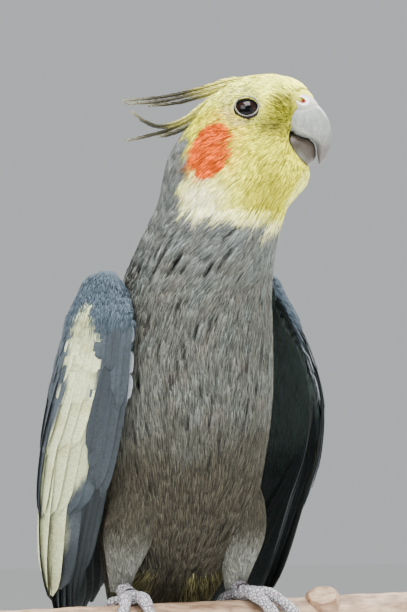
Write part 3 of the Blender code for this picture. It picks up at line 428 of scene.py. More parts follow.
# Barbs are 0.1 mm; the streaks are drawn at 0.6 mm, so that they show.
tint_by(PLUMAGE, plumage_shader, grain_of(PLUMAGE, Scale=1600.0, Detail=2.0), 0.94, 1.06)
place, angle = grid(np.linspace(0, len(BODY) - 1.02, 110), 96)
skin = mesh_piece("bird_skin", *lofted(skin_surface(place, angle)[None]), PLUMAGE)
thighs = []
for side in (-1, 1):
    place, angle = grid(np.linspace(0, len(THIGH) - 1, 30), 48)
    limb = thigh_surface(side, place, angle, THIGH_COAT)
    thighs.append(mesh_piece("thigh_skin", *lofted(limb[None]), PLUMAGE))
group = bpy.data.collections.new("thighs")
for thigh in thighs:
    bpy.context.scene.collection.objects.unlink(thigh)
    group.objects.link(thigh)
fuse = skin.modifiers.new("fuse", "BOOLEAN")
fuse.operation, fuse.solver = "UNION", "EXACT"
fuse.operand_type, fuse.collection = "COLLECTION", group
fused = bpy.data.meshes.new_from_object(skin.evaluated_get(bpy.context.evaluated_depsgraph_get()))
skin.modifiers.clear()
skin.data = fused
for thigh in thighs:
    bpy.data.objects.remove(thigh)
bpy.data.collections.remove(group)
skin_points = np.zeros(len(fused.vertices) * 3, np.float32)
fused.vertices.foreach_get("co", skin_points)
skin_points = skin_points.reshape(-1, 3) * 1000 - PERCH_TOP_PLACE
corners = np.zeros(len(fused.loops), np.int32)
fused.loops.foreach_get("vertex_index", corners)
# The skin is a little darker than the coat, as down in shade is.
shade = fused.color_attributes.new("plumage", "FLOAT_COLOR", "POINT")
shade.data.foreach_set("color", floats(with_alpha(plumage(skin_points) * 0.75)))
fused.uv_layers.new(name="OFBake").data.foreach_set("uv", floats(unwrap(skin_points)[corners]))
fused.materials.clear()
fused.materials.append(PLUMAGE)
fused.shade_smooth()
keep(skin, "grey_plumage", "head", "neck", "torso", "rump", "thigh_right", "thigh_left")

# The contour feathers.
# Soft overlapping body feathers, whose loose barbs make the coat look like combed silk. Each tuft is one
# feather's visible end: a flat fan of thin pointed barbs that roots in the skin and follows it.
BILL_BASE = HEAD_CENTRE + 17.0 * AHEAD - 2.5 * UP
BARB_SIDES = 3


def outward(surface, place, angle, step=0.01):
    """The surface's normal: the cross product of its two slopes, by small differences."""
    along = surface(place + step, angle) - surface(place - step, angle)
    around = surface(place, angle + step) - surface(place, angle - step)
    return unit(np.cross(around, along))


def turned(way, about, angle):
    """Vectors turned in the surface: way times cos plus (about cross way) times sin."""
    angle = np.asarray(angle)[..., None]
    return way * np.cos(angle) + np.cross(about, way) * np.sin(angle)


def lie_of_coat(points, out, seed):
    """The way feathers lie: away from the bill on the head, then down, swept back at the neck and flanks."""
    height = points[..., 2]
    away = unit(points - BILL_BASE) - 0.45 * UP * rise(HEAD_CENTRE[2] - height, 2, 20)[..., None]
    swept = -UP - AHEAD * (0.95 * rise(height, 66, 108))[..., None]
    vent = np.array((0.0, 0.35, 0.0)) - points * (0.03, 0.0, 0.0)
    swept = swept + vent * rise(-height, -40, -5)[..., None]
    way = unit(swept) + (unit(away) - unit(swept)) * rise(height, 106, 122)[..., None]
    way = square_to(way, out)
    draw = np.random.default_rng(seed)
    veer = 0.15 * wave(points, 13.0, 30) + 0.06 * wave(points, 5.0, 31)
    return turned(way, out, veer + draw.normal(0, 0.035, len(points)))


def walk(surface, place, angle, way, length, steps=2):
    """Steps along a surface: its two slopes times small changes of place and angle make each step's way."""
    small = 0.004
    for _ in range(steps):
        along = (surface(place + small, angle) - surface(place - small, angle)) / (2 * small)
        around = (surface(place, angle + small) - surface(place, angle - small)) / (2 * small)
        aa, bb, ab = dot(along, along)[:, 0], dot(around, around)[:, 0], dot(along, around)[:, 0]
        av, bv = dot(along, way)[:, 0], dot(around, way)[:, 0]
        share = length / steps / np.maximum(aa * bb - ab * ab, 1e-3)
        place = place + share * (av * bb - bv * ab)
        angle = angle + share * (bv * aa - av * ab)
        out = outward(surface, place, angle)
        way = square_to(way, out)
    return place, angle, way


def between(stops, share):
    """Values at shares from 0 to 1 along three stops, on a straight line from each stop to the next."""
    i = np.clip((share * 2).astype(int), 0, 1)[..., None]
    t = share[..., None] * 2 - i
    near = np.where(i == 0, stops[0][:, None], stops[1][:, None])
    far = np.where(i == 0, stops[1][:, None], stops[2][:, None])
    return near * (1 - t) + far * t


def tuft_coat(name, surface, place, angle, lie, length, breadth, barbs, thin, lift, paint, patches, seed,
              contrast=0.2):
    """Each barb is a double cone of three sides: a root, a thick ring half-way and a tip. All three are
    the feather's own places, walked along the skin, plus side * fan * breadth and out * lift."""
    draw = np.random.default_rng(seed)
    many = (len(place), barbs)
    fan = np.linspace(-1, 1, barbs) + draw.uniform(-0.5, 0.5, many) * 2 / barbs
    length = length * draw.uniform(0.85, 1.15, len(place))
    spots, outs, ways = [surface(place, angle)], [outward(surface, place, angle)], [lie]
    for _ in range(2):
        place, angle, lie = walk(surface, place, angle, lie, length / 2)
        spots.append(surface(place, angle))
        outs.append(outward(surface, place, angle))
        ways.append(lie)
    start = draw.uniform(0, 0.35, many) * abs(fan) ** 0.5
    end = start + (1 - 0.25 * fan**2) * draw.uniform(0.7, 1.1, many)
    halves = np.stack([start, start * 0.55 + end * 0.45, end])
    made = []
    for share, spread, up in zip(halves, (0.7, 1.0, 0.85), (0.0, 0.7, 1.0)):
        spot, out = between(spots, share), unit(between(outs, share))
        side = unit(np.cross(out, ways[1][:, None]))
        high = (lift * up)[:, None, None] * draw.uniform(0.8, 1.2, many)[..., None]
        made.append((spot + side * (fan * breadth * spread / 2)[..., None] + out * high, side, out))
    middle, side, out = made[1]
    side, out = np.broadcast_to(side, middle.shape), np.broadcast_to(out, middle.shape)
    ring = np.stack([middle - side * thin, middle + side * thin, middle + out * thin * 0.7], 2)
    ends = np.stack([made[0][0], made[2][0]], 2).reshape(-1, 2, 3)
    rooted = made[0][0] + lie[:, None] * draw.uniform(-0.7, 0.7, many)[..., None]
    tone = np.clip(draw.normal(1, contrast, many), 0.35, 1.7) + 0.35 * (draw.random(many) < 0.14)
    tone = (tone[..., None] * paint(rooted, middle)).reshape(-1, 1, 3)
    # Each barb is painted darker at its root, as shade where it lies under the coat, and a little lighter at
    # its tip.
    shades = np.concatenate([np.repeat(tone, BARB_SIDES, 1), tone * 0.8, tone * 1.05], 1).reshape(-1, 3)
    # A tuft's patch on the bake sheet is 0.003 across at most, and a barb's own about 0.0008.
    spot = patches[:, None] + np.stack([fan * 0.0011, draw.uniform(-0.001, 0.001, many)], -1)
    sheet = np.repeat(spot.reshape(-1, 1, 2), BARB_SIDES + 2, 1)
    sheet = sheet + np.array([(0, 0), (0.0002, 0), (0, 0.0002), (0, -0.0004), (0, 0.0004)])
    return mesh_piece(name, *lofted(ring.reshape(-1, 1, BARB_SIDES, 3), ends), PLUMAGE, shades,
                      sheet.reshape(-1, 2))


def scatter(surface, low, high, spacing, seed, around=96):
    """Even places on a surface: each ring holds as many as its girth allows, every other one shifted."""
    draw = np.random.default_rng(seed)
    place = np.linspace(low, high, 200)
    ring = surface(place[:, None], (np.arange(around) * 2 * math.pi / around)[None])
    climb = np.linalg.norm(np.diff(ring, axis=0), axis=2).mean(1)
    climb = np.concatenate([[0], np.cumsum(climb)])
    rows = int(climb[-1] / spacing)
    at = np.interp((np.arange(rows) + 0.5) * climb[-1] / rows, climb, place)
    girth = surface(at[:, None], np.linspace(0, 2 * math.pi, around)[None])
    girth = np.linalg.norm(np.diff(girth, axis=1), axis=2).sum(1)
    counts = np.maximum((girth / spacing).astype(int), 5)
    row = np.repeat(np.arange(rows), counts)
    order = np.arange(counts.sum()) - np.repeat(np.cumsum(counts) - counts, counts)
    angle = (order + 0.5 * (row % 2) + draw.uniform(-0.35, 0.35, len(row))) / counts[row] * 2 * math.pi
    step = climb[-1] / rows
    shift = draw.uniform(-0.35, 0.35, len(row)) * step
    return np.interp(np.interp(at[row], place, climb) + shift, climb, place), angle


def bare(points):
    """Where no feather roots: the eyes with their lids, the cere, the bill, and inside a thigh."""
    ahead, up, aside = head_frame(points)
    eye = ((ahead - EYE_AT[0]) ** 2 + ((up - EYE_AT[1]) / 0.86) ** 2 < 3.45**2) & (abs(aside) > 6)
    cere = ((ahead - 15.7) / 3.8) ** 2 + ((up - 3.0) / 3.0) ** 2 < 1
    gape = 11.8 + np.interp(-up, (3.5, 6.5, 11.0), (0.0, 2.2, 4.2))
    bill = (ahead > gape) & (up < 3.4) & (up > -11.2 - 0.42 * (ahead - 11.4))
    return eye | cere | bill | (from_thigh(points) < 0)


def from_thigh(points):
    """How far points stand outside the nearer thigh: distance from its middle line less its radius."""
    place = np.interp(-points[:, 2], -np.array(THIGH)[:, 2], np.arange(len(THIGH)))
    across, along, _, radius = smooth(THIGH, place).T
    gone = np.hypot(abs(points[:, 0]) - across, points[:, 1] - along) - (radius - THIGH_COAT)
    return np.where((points[:, 2] < 40) & (points[:, 2] > 3.0), gone, 20.0)


def short_by_face(roots, lie, length):
    """Feathers shorten towards the bill, and in front of the eye so that they end at its lid."""
    length = length * np.interp(np.linalg.norm(roots - BILL_BASE, axis=1), (6.0, 16.0), (0.45, 1.0))
    ahead, up, aside = head_frame(roots)
    gone = np.stack([EYE_AT[0] - ahead, EYE_AT[1] - up], 1)
    far = np.linalg.norm(gone, axis=1)
    towards = (lie @ AHEAD) * gone[:, 0] + lie[:, 2] * gone[:, 1]
    room = 0.6 + np.maximum(far - 3.5, 0)
    return np.where((towards > 0.3 * far) & (abs(aside) > 5), np.minimum(length, room), length)


# How many places the coat parts at.
NECK_PARTINGS, BELLY_PARTINGS = 42, 28


def parting_shade_and_highlight(points):
    """Painted shade and highlight where feathers part: a dark line of shade along the lie with a pale painted
    highlight beside it, at scattered places.
    """
    draw = np.random.default_rng(77)
    tone = np.ones(points.shape[:-1])
    for number in range(NECK_PARTINGS + BELLY_PARTINGS):
        on_neck = number < NECK_PARTINGS
        height = draw.uniform(60, 106) if on_neck else draw.uniform(14, 80)
        turn = draw.uniform(-2.0, -0.3) if on_neck else draw.uniform(-1.9, 0.9)
        place = body_place(height)
        spot = body_surface(place, turn).reshape(3)
        out = outward(body_surface, place, turn).reshape(3)
        way = square_to(unit(-UP - AHEAD * 0.95 * rise(height, 66, 108)), out)
        gone = points - spot
        along, aside = gone @ way, gone @ np.cross(out, way)
        reach = np.exp(-(along / draw.uniform(1.6, 3.2)) ** 2) * (np.linalg.norm(gone, axis=-1) < 8)
        dark = 0.85 * np.exp(-(aside / 0.65) ** 2)
        pale = 0.4 * np.exp(-((aside - 0.9) / 0.45) ** 2)
        tone = tone - reach * dark + reach * pale
    return tone


def coat_paint(rooted, middle):
    """Plumage by where each barb roots, with painted shade and highlight where the coat parts, and painted
    shade in the crease beside a thigh.
    """
    height = rooted[..., 2]
    # Painted shade in the crease where a thigh meets the trunk.
    fold_shade = np.exp(-np.maximum(from_thigh(rooted.reshape(-1, 3)), 0) / 1.2).reshape(height.shape)
    tone = parting_shade_and_highlight(middle) * (1 - 0.4 * fold_shade * rise(-height, -24, -12)) * (1 + 0.05 * wave(rooted, 4.0, 70))
    return plumage(rooted) * tone[..., None]


# Regions: lowest and highest slice by height, spacing, length, breadth, barbs, half a barb's width, lift.
COAT = (
    ("coat_vent", -23.0, 12.0, 1.30, 8.5, 2.4, 7, 0.19, 0.75),
    ("coat_belly", 12.0, 38.0, 1.22, 8.0, 2.4, 7, 0.19, 0.70),
    ("coat_breast", 38.0, 65.0, 1.20, 7.6, 2.3, 7, 0.19, 0.65),
    ("coat_upper_breast", 65.0, 92.0, 1.18, 7.4, 2.3, 7, 0.185, 0.65),
    ("coat_neck", 92.0, 114.0, 1.10, 7.2, 2.1, 7, 0.18, 0.60),
    ("coat_cheeks", 114.0, 133.0, 0.92, 6.4, 1.7, 8, 0.12, 0.45),
    ("coat_face", 133.0, 142.0, 0.78, 4.6, 1.3, 7, 0.105, 0.35),
    ("coat_crown", 142.0, 150.1, 0.80, 5.4, 1.4, 7, 0.105, 0.32),
)
for number, (name, low, high, spacing, length, breadth, barbs, thin, lift) in enumerate(COAT):
    on_head = low >= 114
    place, angle = scatter(skin_surface, body_place(low), body_place(high), spacing, 10 + number)
    shown = ~bare(skin_surface(place, angle))
    place, angle = place[shown], angle[shown]
    roots, out = skin_surface(place, angle), outward(skin_surface, place, angle)
    lie = lie_of_coat(roots, out, 30 + number)
    size = short_by_face(roots, lie, length * (1 + 0.12 * wave(roots, 5.0, 50 + number)))
    raised = lift * (1 + 0.3 * wave(roots, 3.6, 90))
    raised = raised * np.interp(np.linalg.norm(roots - BILL_BASE, axis=1), (6.0, 16.0), (0.5, 1.0))
    coat = tuft_coat(name, skin_surface, place, angle, lie, size, breadth, barbs, thin, raised, coat_paint,
                     unwrap(roots), number, 0.45 if on_head else 0.44)
    keep(coat, "yellow_plumage" if on_head else "grey_plumage")


def thigh_paint(rooted, middle):
    """The body's plumage, paler down the leg, and more so on the left leg."""
    pale = np.where(rooted[..., 0] > 0, 0.8, 0.5)
    return blend(plumage(rooted), "#92958E", pale * rise(-rooted[..., 2], -26, -10))


def vent_paint(rooted, middle):
    """Olive yellow strands with the belly's grey among them."""
    aside = rise(abs(rooted[..., 0] + 2.5), 2.5, 6.0)
    return blend(plumage(rooted), "#7C784E", aside * (0.55 + 0.45 * wave(rooted, 2.0, 62)))


# The bird's two sides: word, and sign across.
HANDS = (("right", -1), ("left", 1))
for number, (word, side) in enumerate(HANDS):
    def thigh_skin(place, angle):
        return thigh_surface(side, place, -np.asarray(angle), THIGH_COAT)

    place, angle = scatter(thigh_skin, 0.3, len(THIGH) - 1.3, 1.15, 20 + number)
    roots, out = thigh_skin(place, angle), outward(thigh_skin, place, angle)
    way = -UP + np.array((0.0, 0.12, 0.0))
    lie = turned(square_to(way, out), out, 0.2 * wave(roots, 4.0, 40 + number))
    size = np.interp(roots[:, 2], (4.0, 7.0, 14.0, 30.0), (2.4, 4.2, 6.6, 7.5))
    coat = tuft_coat(f"coat_thigh_{word}", thigh_skin, place, angle, lie, size, 2.1, 8, 0.15,
                     np.full(len(roots), 0.7), thigh_paint, unwrap(roots, number + 1), 24 + number, 0.26)
    keep(coat, "grey_plumage")
# Long loose strands hang from the vent between the legs.
place, angle = scatter(skin_surface, body_place(0.0), body_place(11.0), 2.0, 60)
roots = skin_surface(place, angle)
shown = (abs(roots[:, 0]) < 15) & (roots[:, 1] < 12) & (from_thigh(roots) > 0)
place, angle, roots = place[shown], angle[shown], roots[shown]
out = outward(skin_surface, place, angle)
lie = square_to(-UP + roots * (0.05, 0, 0), out)
size, raised = np.full(len(roots), 9.0), np.full(len(roots), 1.6)
coat = tuft_coat("coat_vent_strands", skin_surface, place, angle, lie, size, 3.0, 7, 0.12, raised,
                 vent_paint, unwrap(roots), 61, 0.3)
keep(coat, "grey_plumage")

# The cere and the bill.
# A soft pale swelling with two nostrils sits on the root of a grey horn bill, grown in fine layers.
# The upper half hooks over the lower one, which leaves a slit under its notch, dark with painted shade.

# Sections from root to tip: outer edge and inner edge (ahead, up), and half width.
UPPER_BILL = (
    ((11.0, 1.6), (9.4, -4.4), 4.6),
    ((13.6, 2.6), (12.0, -5.4), 6.1),
    ((18.6, 2.5), (12.8, -6.2), 6.0),
    ((21.7, -0.9), (14.8, -6.9), 5.2),
    ((22.9, -5.2), (17.0, -7.4), 4.2),
    ((22.6, -9.2), (18.5, -8.9), 2.9),
    ((21.4, -12.4), (18.9, -11.9), 1.6),
    ((19.7, -14.5), (19.3, -14.3), 0.35),
)
LOWER_BILL = (
    ((10.0, -10.8), (10.0, -5.2), 4.0),
    ((12.0, -12.6), (12.2, -5.7), 4.8),
    ((14.0, -14.2), (14.0, -6.7), 4.8),
    ((16.2, -14.9), (16.5, -7.5), 3.9),
    ((17.7, -13.7), (17.9, -8.4), 2.6),
    ((18.5, -12.2), (18.5, -10.3), 0.8),
)
# How flat the bill's sides are.
BILL_SQUARE = 0.65
# Middles in the head's frame, half sizes, and how far each leans forwards and down.
MOUTH_AT, MOUTH_SIZE, MOUTH_LEAN = (14.6, -8.0), (4.6, 1.9, 2.9), math.radians(38)
CERE_AT, CERE_SIZE, CERE_LEAN = (14.7, 2.3, 0.0), (5.6, 3.5, 5.7), math.radians(35)
NOSTRIL_AT, NOSTRIL_LEAN = (14.4, 3.6), math.radians(25)


def in_head(ahead, up, aside):
    """A point of the head's own frame, counted from the top of the perch."""
    ahead, up, aside = np.broadcast_arrays(np.asarray(ahead, float), up, aside)
    return HEAD_CENTRE + ahead[..., None] * AHEAD + up[..., None] * UP + aside[..., None] * ASIDE


def bill_surface(rows, place, angle):
    """Ovals between the bill's outer and inner edges: middle + arm * cos ahead and half width * sin aside."""
    table = np.array([(*outer, *inner, half) for outer, inner, half in rows])
    outer_a, outer_u, inner_a, inner_u, half = np.moveaxis(smooth(table, place), -1, 0)
    ahead = (outer_a + inner_a) / 2 + (outer_a - inner_a) / 2 * np.cos(angle)
    up = (outer_u + inner_u) / 2 + (outer_u - inner_u) / 2 * np.cos(angle)
    return in_head(ahead, up, half * np.sign(np.sin(angle)) * abs(np.sin(angle)) ** BILL_SQUARE)


def leaned(ahead, up, lean):
    """Places in the head's middle plane, turned down by a lean."""
    return ahead * math.cos(lean) + up * math.sin(lean), up * math.cos(lean) - ahead * math.sin(lean)


def ball_rings(stations, around, edge):
    """A unit ball: the turn from its pole to each ring, and the points (cos, sin * cos, sin * sin)."""
    turn, angle = grid(np.linspace(edge, math.pi - edge, stations), around)
    return turn, np.stack([np.cos(turn), np.sin(turn) * np.cos(angle), np.sin(turn) * np.sin(angle)], -1)


HORN, horn_shader = finish_look("bill_horn", 0.42, Specular_IOR_Level=0.45)
# Flaking layers about 0.8 mm wide and 2 mm long.
flakes = grain_of(HORN, stretch=(1.0, 1.0, 0.35), Scale=1300.0, Detail=4.0, Roughness=0.6)
tint_by(HORN, horn_shader, flakes, 0.74, 1.16)
bump_by(HORN, horn_shader, flakes, "Fac", 0.35, 0.0003)
for name, rows in (("bill_upper", UPPER_BILL), ("bill_lower", LOWER_BILL)):
    place, angle = grid(np.linspace(0, len(rows) - 1, 60), 56)
    points, faces = lofted(bill_surface(rows, place, angle)[None])
    ahead, up, _ = head_frame(points)
    shade = np.broadcast_to(linear("#757975"), points.shape)
    # Paler towards the lower rear: partly the horn's own paler base, partly a painted highlight.
    shade = blend(shade, "#9C9E98", rise(-up, -1.0, 7.0) * rise(-ahead, -21, -14) * 0.5)
    if rows is UPPER_BILL:
        shade = blend(shade, "#3E3433", 0.85 * rise(-up, 4.0, 12.0))
    else:
        # The lower half is dark brown: partly its own colour, partly painted shade under the upper half's
        # hook, and paler at its lower rear.
        under = rise(-up, 9.0, 13.5) * rise(-ahead, -17.0, -12.0)
        shade = blend(shade, "#2B2113", 0.97 - 0.4 * under)
    scratched = 0.16 * wave(points * (1, 1, 0.5), 2.6, 7) + 0.14 * wave(points * (1.6, 1.6, 0.6), 1.0, 27)
    shade = shade * (1 + scratched)[:, None]
    keep(mesh_piece(f"{name}_horn", points, faces, HORN, shade), "bill_horn", name)

# The shade in the mouth between the two halves is painted: a near black leaning egg inside them.
ahead, up, aside = (ball_rings(24, 32, 0.05)[1] * MOUTH_SIZE).transpose(2, 0, 1)
ahead, up = leaned(ahead, up, MOUTH_LEAN)
points, faces = lofted(in_head(MOUTH_AT[0] + ahead, MOUTH_AT[1] + up, aside)[None])
shade = np.broadcast_to(linear("#1C1614"), points.shape)
keep(mesh_piece("mouth_shade", points, faces, HORN, shade), "bill_horn")

# The cere is a leaning egg too. Each nostril is a pit in it with a raised rim.
CERE, cere_shader = finish_look("cere_skin", 0.55, Subsurface_Weight=0.08, Subsurface_Scale=0.001)
cere_colour = add(CERE, "Attribute", attribute_name="plumage")
join_sockets(CERE, cere_colour, "Color", cere_shader, "Base Color")
wrinkle = grain_of(CERE, "TexVoronoi", Scale=1500.0)
bump_by(CERE, cere_shader, wrinkle, "Distance", 0.4, 0.0002)
ahead, up, aside = (ball_rings(90, 128, 0.02)[1] * CERE_SIZE).transpose(2, 0, 1)
spot = CERE_AT + np.stack([*leaned(ahead, up, CERE_LEAN), aside], -1)
gone_ahead, gone_up = leaned(spot[..., 0] - NOSTRIL_AT[0], spot[..., 1] - NOSTRIL_AT[1], -NOSTRIL_LEAN)
from_nostril = np.hypot(gone_ahead / 1.3, gone_up / 0.75)
from_nostril = np.where(abs(spot[..., 2]) > 2.5, from_nostril, 9.0)
rim = np.exp(-((from_nostril - 1.5) / 0.4) ** 2)
pit = 1 - rise(from_nostril, 0.5, 1.1)
spot[..., 2] = spot[..., 2] + np.sign(spot[..., 2]) * (0.25 * rim - 1.3 * pit)
shade = np.broadcast_to(linear("#98978C"), spot.shape)
shade = blend(shade, "#7A1A14", 1 - rise(from_nostril, 0.75, 1.15))
shade = blend(shade, "#E4E2DA", 0.8 * np.exp(-((from_nostril - 1.5) / 0.3) ** 2))
shade = blend(shade, "#96807A", 0.5 * rise(wave(spot, 2.5, 8), 0.2, 0.9) * rise(from_nostril, 1.5, 2.2))
points, faces = lofted(in_head(*np.moveaxis(spot, -1, 0))[None])
shade = np.concatenate([shade.reshape(-1, 3), shade[(0, -1), 0]])
keep(mesh_piece("cere", points, faces, CERE, shade), "bill_horn")

# The eyes.
# A wet dark ball with a brown-black iris, ringed by bare pale skin set with tiny knobs. Only its front
# shows between the lids.
EYE_RADIUS, EYE_SUNK = 4.6, 3.4
# The lid's ring: its radius, how much lower it is than long, its thickness, and points round and across it.
LID_RADIUS, LID_FLAT, LID_THICK, LID_ROUND, LID_ACROSS = 3.3, 0.84, 0.24, 168, 20


def head_half_width(ahead, up):
    """How far the head's side stands from its middle plane at places in that plane."""
    ahead, up = np.broadcast_arrays(np.atleast_1d(np.asarray(ahead, float)), up)
    angle = np.linspace(math.pi, 2 * math.pi, 181)
    ring = body_surface(body_place(HEAD_CENTRE[2] + up)[:, None], angle[None])
    forward, _, aside = head_frame(ring)
    nearest = abs(forward - ahead[:, None]).argmin(1)
    return -np.take_along_axis(aside, nearest[:, None], 1)[:, 0]


EYE_OUT = head_half_width(*EYE_AT)[0]
# How fast the side of the head falls away from the eye, ahead of it and above it.
FALL_AHEAD = (EYE_OUT - head_half_width(EYE_AT[0] + 2, EYE_AT[1])[0]) / 2
FALL_UP = (EYE_OUT - head_half_width(EYE_AT[0], EYE_AT[1] + 2)[0]) / 2
EYE, eye_shader = finish_look("wet_cornea", 0.07, Specular_IOR_Level=0.08, Coat_Weight=0.04,
                              Coat_Roughness=0.03)
tint_by(EYE, eye_shader, grain_of(EYE, Scale=2200.0, Detail=2.0), 0.7, 1.3)
LID = CERE.copy()
LID.name = "bare_eyelid_skin"
# The ball's middle in the head's frame, sunk square to the side of the head.
EYE_MIDDLE = np.array((*EYE_AT, EYE_OUT)) - EYE_SUNK * unit(np.array((FALL_AHEAD, FALL_UP, 1.0)))
for word, side in HANDS:
    turn, ball = ball_rings(72, 64, 0.01)
    ball = ball[..., (1, 2, 0)] * (EYE_RADIUS + 0.12 * np.exp(-(turn / 0.42) ** 2))[..., None]
    spot = (ball * (0.95, 0.84, 1.0) + EYE_MIDDLE) * (1, 1, side)
    points, faces = lofted(in_head(*np.moveaxis(spot, -1, 0))[None])
    turn = np.concatenate([turn.ravel(), [0.0, math.pi]])
    shade = np.broadcast_to(linear("#050404"), points.shape)
    shade = blend(shade, "#170C08", rise(turn, 0.44, 0.50) * (1 - rise(turn, 0.72, 0.82)))
    keep(mesh_piece(f"eye_{word}_ball", points, faces, EYE, shade), "eye", f"eye_{word}")
    around, ring = grid(np.arange(LID_ROUND) * 2 * math.pi / LID_ROUND, LID_ACROSS)
    studs = abs(np.sin(around * 17))
    thick = LID_THICK * (1 + 0.2 * studs * np.clip(np.sin(ring), 0, 1) + 0.1 * np.sin(around * 11 + ring * 2))
    major = LID_RADIUS + thick * np.cos(ring)
    ahead, up = major * np.cos(around), major * np.sin(around) * LID_FLAT
    level = EYE_OUT - 0.1 + 0.8 * thick * np.sin(ring) - FALL_AHEAD * ahead - FALL_UP * up
    points = in_head(EYE_AT[0] + ahead, EYE_AT[1] + up, side * level).reshape(-1, 3)
    i, j = np.meshgrid(np.arange(LID_ROUND), np.arange(LID_ACROSS), indexing="ij")
    row, next_row, next_j = i * LID_ACROSS, (i + 1) % LID_ROUND * LID_ACROSS, (j + 1) % LID_ACROSS
    quads = np.stack([row + j, row + next_j, next_row + next_j, next_row + j], -1).reshape(-1, 4)
    shade = np.broadcast_to(linear("#3E3D35"), points.shape)
    shade = blend(shade, "#3C342F", 0.95 * rise(-np.cos(ring), 0.2, 0.8).ravel())
    shade = blend(shade, "#77756B", 0.7 * ((studs > 0.8) * rise(np.sin(ring), 0.2, 0.8)).ravel())
    shade = blend(shade, "#33322A", 0.6 * rise(wave(points, 1.6, 9), 0.0, 0.8))
    keep(mesh_piece(f"eyelid_{word}", points, [quads], LID, shade), "bill_horn")

# The crest.
# Long narrow feathers that grow from the crown, each a bare shaft with loose barbs on both sides. They
# sweep back and curl up at their tips, yellow at the root and dusky towards the end.

# Feathers: width, place aside at root and at tip, and the shaft's path (ahead, up).
CREST = (
    (3.0, 0.6, 1.6, ((5.5, 10.2), (-5.1, 9.6), (-14.2, 7.1), (-24.2, 4.8), (-35.6, 3.6))),
    (3.0, -1.2, -2.0, ((4.0, 10.0), (-5.0, 8.6), (-14.2, 6.0), (-24.2, 3.6), (-34.8, 2.6))),
    (2.8, 2.2, 3.2, ((3.0, 9.6), (-5.5, 8.0), (-13.0, 5.2), (-21.0, 3.0), (-29.0, 2.2))),
    (3.2, -0.6, -1.4, ((1.5, 9.8), (-10.0, 5.1), (-18.0, -1.0), (-24.2, -3.4), (-29.0, -2.6), (-33.0, 0.0))),
    (3.0, 1.2, 1.6, ((1.0, 9.8), (-9.5, 4.6), (-15.0, 0.0), (-21.0, -3.2), (-26.0, -3.6), (-30.0, -2.2))),
    (3.0, 0.2, -0.4, ((-1.0, 9.4), (-9.0, 4.0), (-17.0, -1.6), (-22.8, -4.5), (-28.5, -6.2), (-34.8, -7.7))),
    (2.8, -1.8, -2.6, ((-1.5, 9.0), (-9.5, 3.0), (-16.0, -2.6), (-22.0, -5.6), (-25.6, -6.5))),
    (2.8, 2.0, 2.6, ((-1.5, 9.0), (-9.0, 3.4), (-15.5, -2.0), (-20.5, -5.0), (-24.0, -5.6))),
    (2.6, 0.0, -0.4, ((-6.0, 5.4), (-13.0, -1.9), (-18.5, -8.0), (-22.8, -12.2))),
)


def tube_rings(line, radii, side, around):
    """Circles about a line: side times cos plus (line's way cross side) times sin, times a radius each."""
    way = unit(np.gradient(line, axis=0))
    side = square_to(side, way)
    up = np.cross(way, side)
    angle = (np.arange(around) * 2 * math.pi / around)[:, None]
    circles = side[:, None] * np.cos(angle) + up[:, None] * np.sin(angle)
    return line[:, None] + circles * radii[:, None, None]


def read_off(at, share, values):
    """Rows of values at places between their own shares, on straight lines."""
    return np.stack([np.interp(at, share, column) for column in values.T], 1)


def per_ring(values, around, tip=None):
    """Values (form, station) given to every point that lofted makes; tip is the far end's own value."""
    tip = values[:, -1:] if tip is None else tip[:, None]
    spread = [np.repeat(values, around, axis=1), values[:, :1], tip]
    return np.concatenate(spread, 1).reshape(-1, values.shape[-1])


SHAFT_STATIONS, SHAFT_SIDES, SHAFT_BARBS = 48, 6, 64
shafts, barb_rings, barb_ends, barb_tones, shaft_tones = [], [], [], [], []
draw = np.random.default_rng(5)
for width, root_aside, tip_aside, path in CREST:
    share = np.linspace(0, 1, SHAFT_STATIONS)
    spots = smooth(path, share * (len(path) - 1))
    line = in_head(spots[:, 0], spots[:, 1], root_aside + (tip_aside - root_aside) * share)
    shafts.append(tube_rings(line, np.interp(share, (0, 1), (0.26, 0.08)), ASIDE, SHAFT_SIDES))
    tone = blend(np.broadcast_to(linear("#CFC968"), line.shape), "#3E3C30", rise(share, 0.28, 0.62))
    tone = blend(tone, "#8F8D76", 0.55 * rise(share, 0.78, 1.0))
    shaft_tones.append(tone)
    at = np.linspace(0.05, 0.995, SHAFT_BARBS)
    middle = read_off(at, share, line)
    way = read_off(at, share, unit(np.gradient(line, axis=0)))
    for hand in (-1, 1):
        side = unit(np.cross(way, ASIDE) * 0.8 * hand + ASIDE * 0.6)
        length = width * 1.2 * np.interp(at, (0, 0.2, 0.7, 1), (0.5, 1, 0.8, 0.4))
        length = length * draw.uniform(0.7, 1.15, SHAFT_BARBS)
        aim = unit(way * 0.96 + side * 0.22 + ASIDE * draw.uniform(-0.08, 0.08, (SHAFT_BARBS, 1)))
        tip = middle + aim * length[:, None]
        bow = (middle + tip) / 2 + side * 0.18
        flat = unit(np.cross(aim, side))
        root_ring = np.stack([middle - side * 0.16, middle + side * 0.16, middle + flat * 0.12], 1)
        bow_ring = np.stack([bow - side * 0.17, bow + side * 0.17, bow + flat * 0.12], 1)
        barb_rings.append(np.stack([root_ring, bow_ring], 1))
        barb_ends.append(np.stack([middle, tip], 1))
        shade = read_off(at, share, tone) * draw.uniform(0.8, 1.2, (SHAFT_BARBS, 1))
        barb_tones.append(np.stack([shade * 0.85, shade], 1))
rings, ends, tones = np.concatenate(barb_rings), np.concatenate(barb_ends), np.concatenate(barb_tones)
shade = per_ring(tones, BARB_SIDES, tones[:, -1] * 1.1)
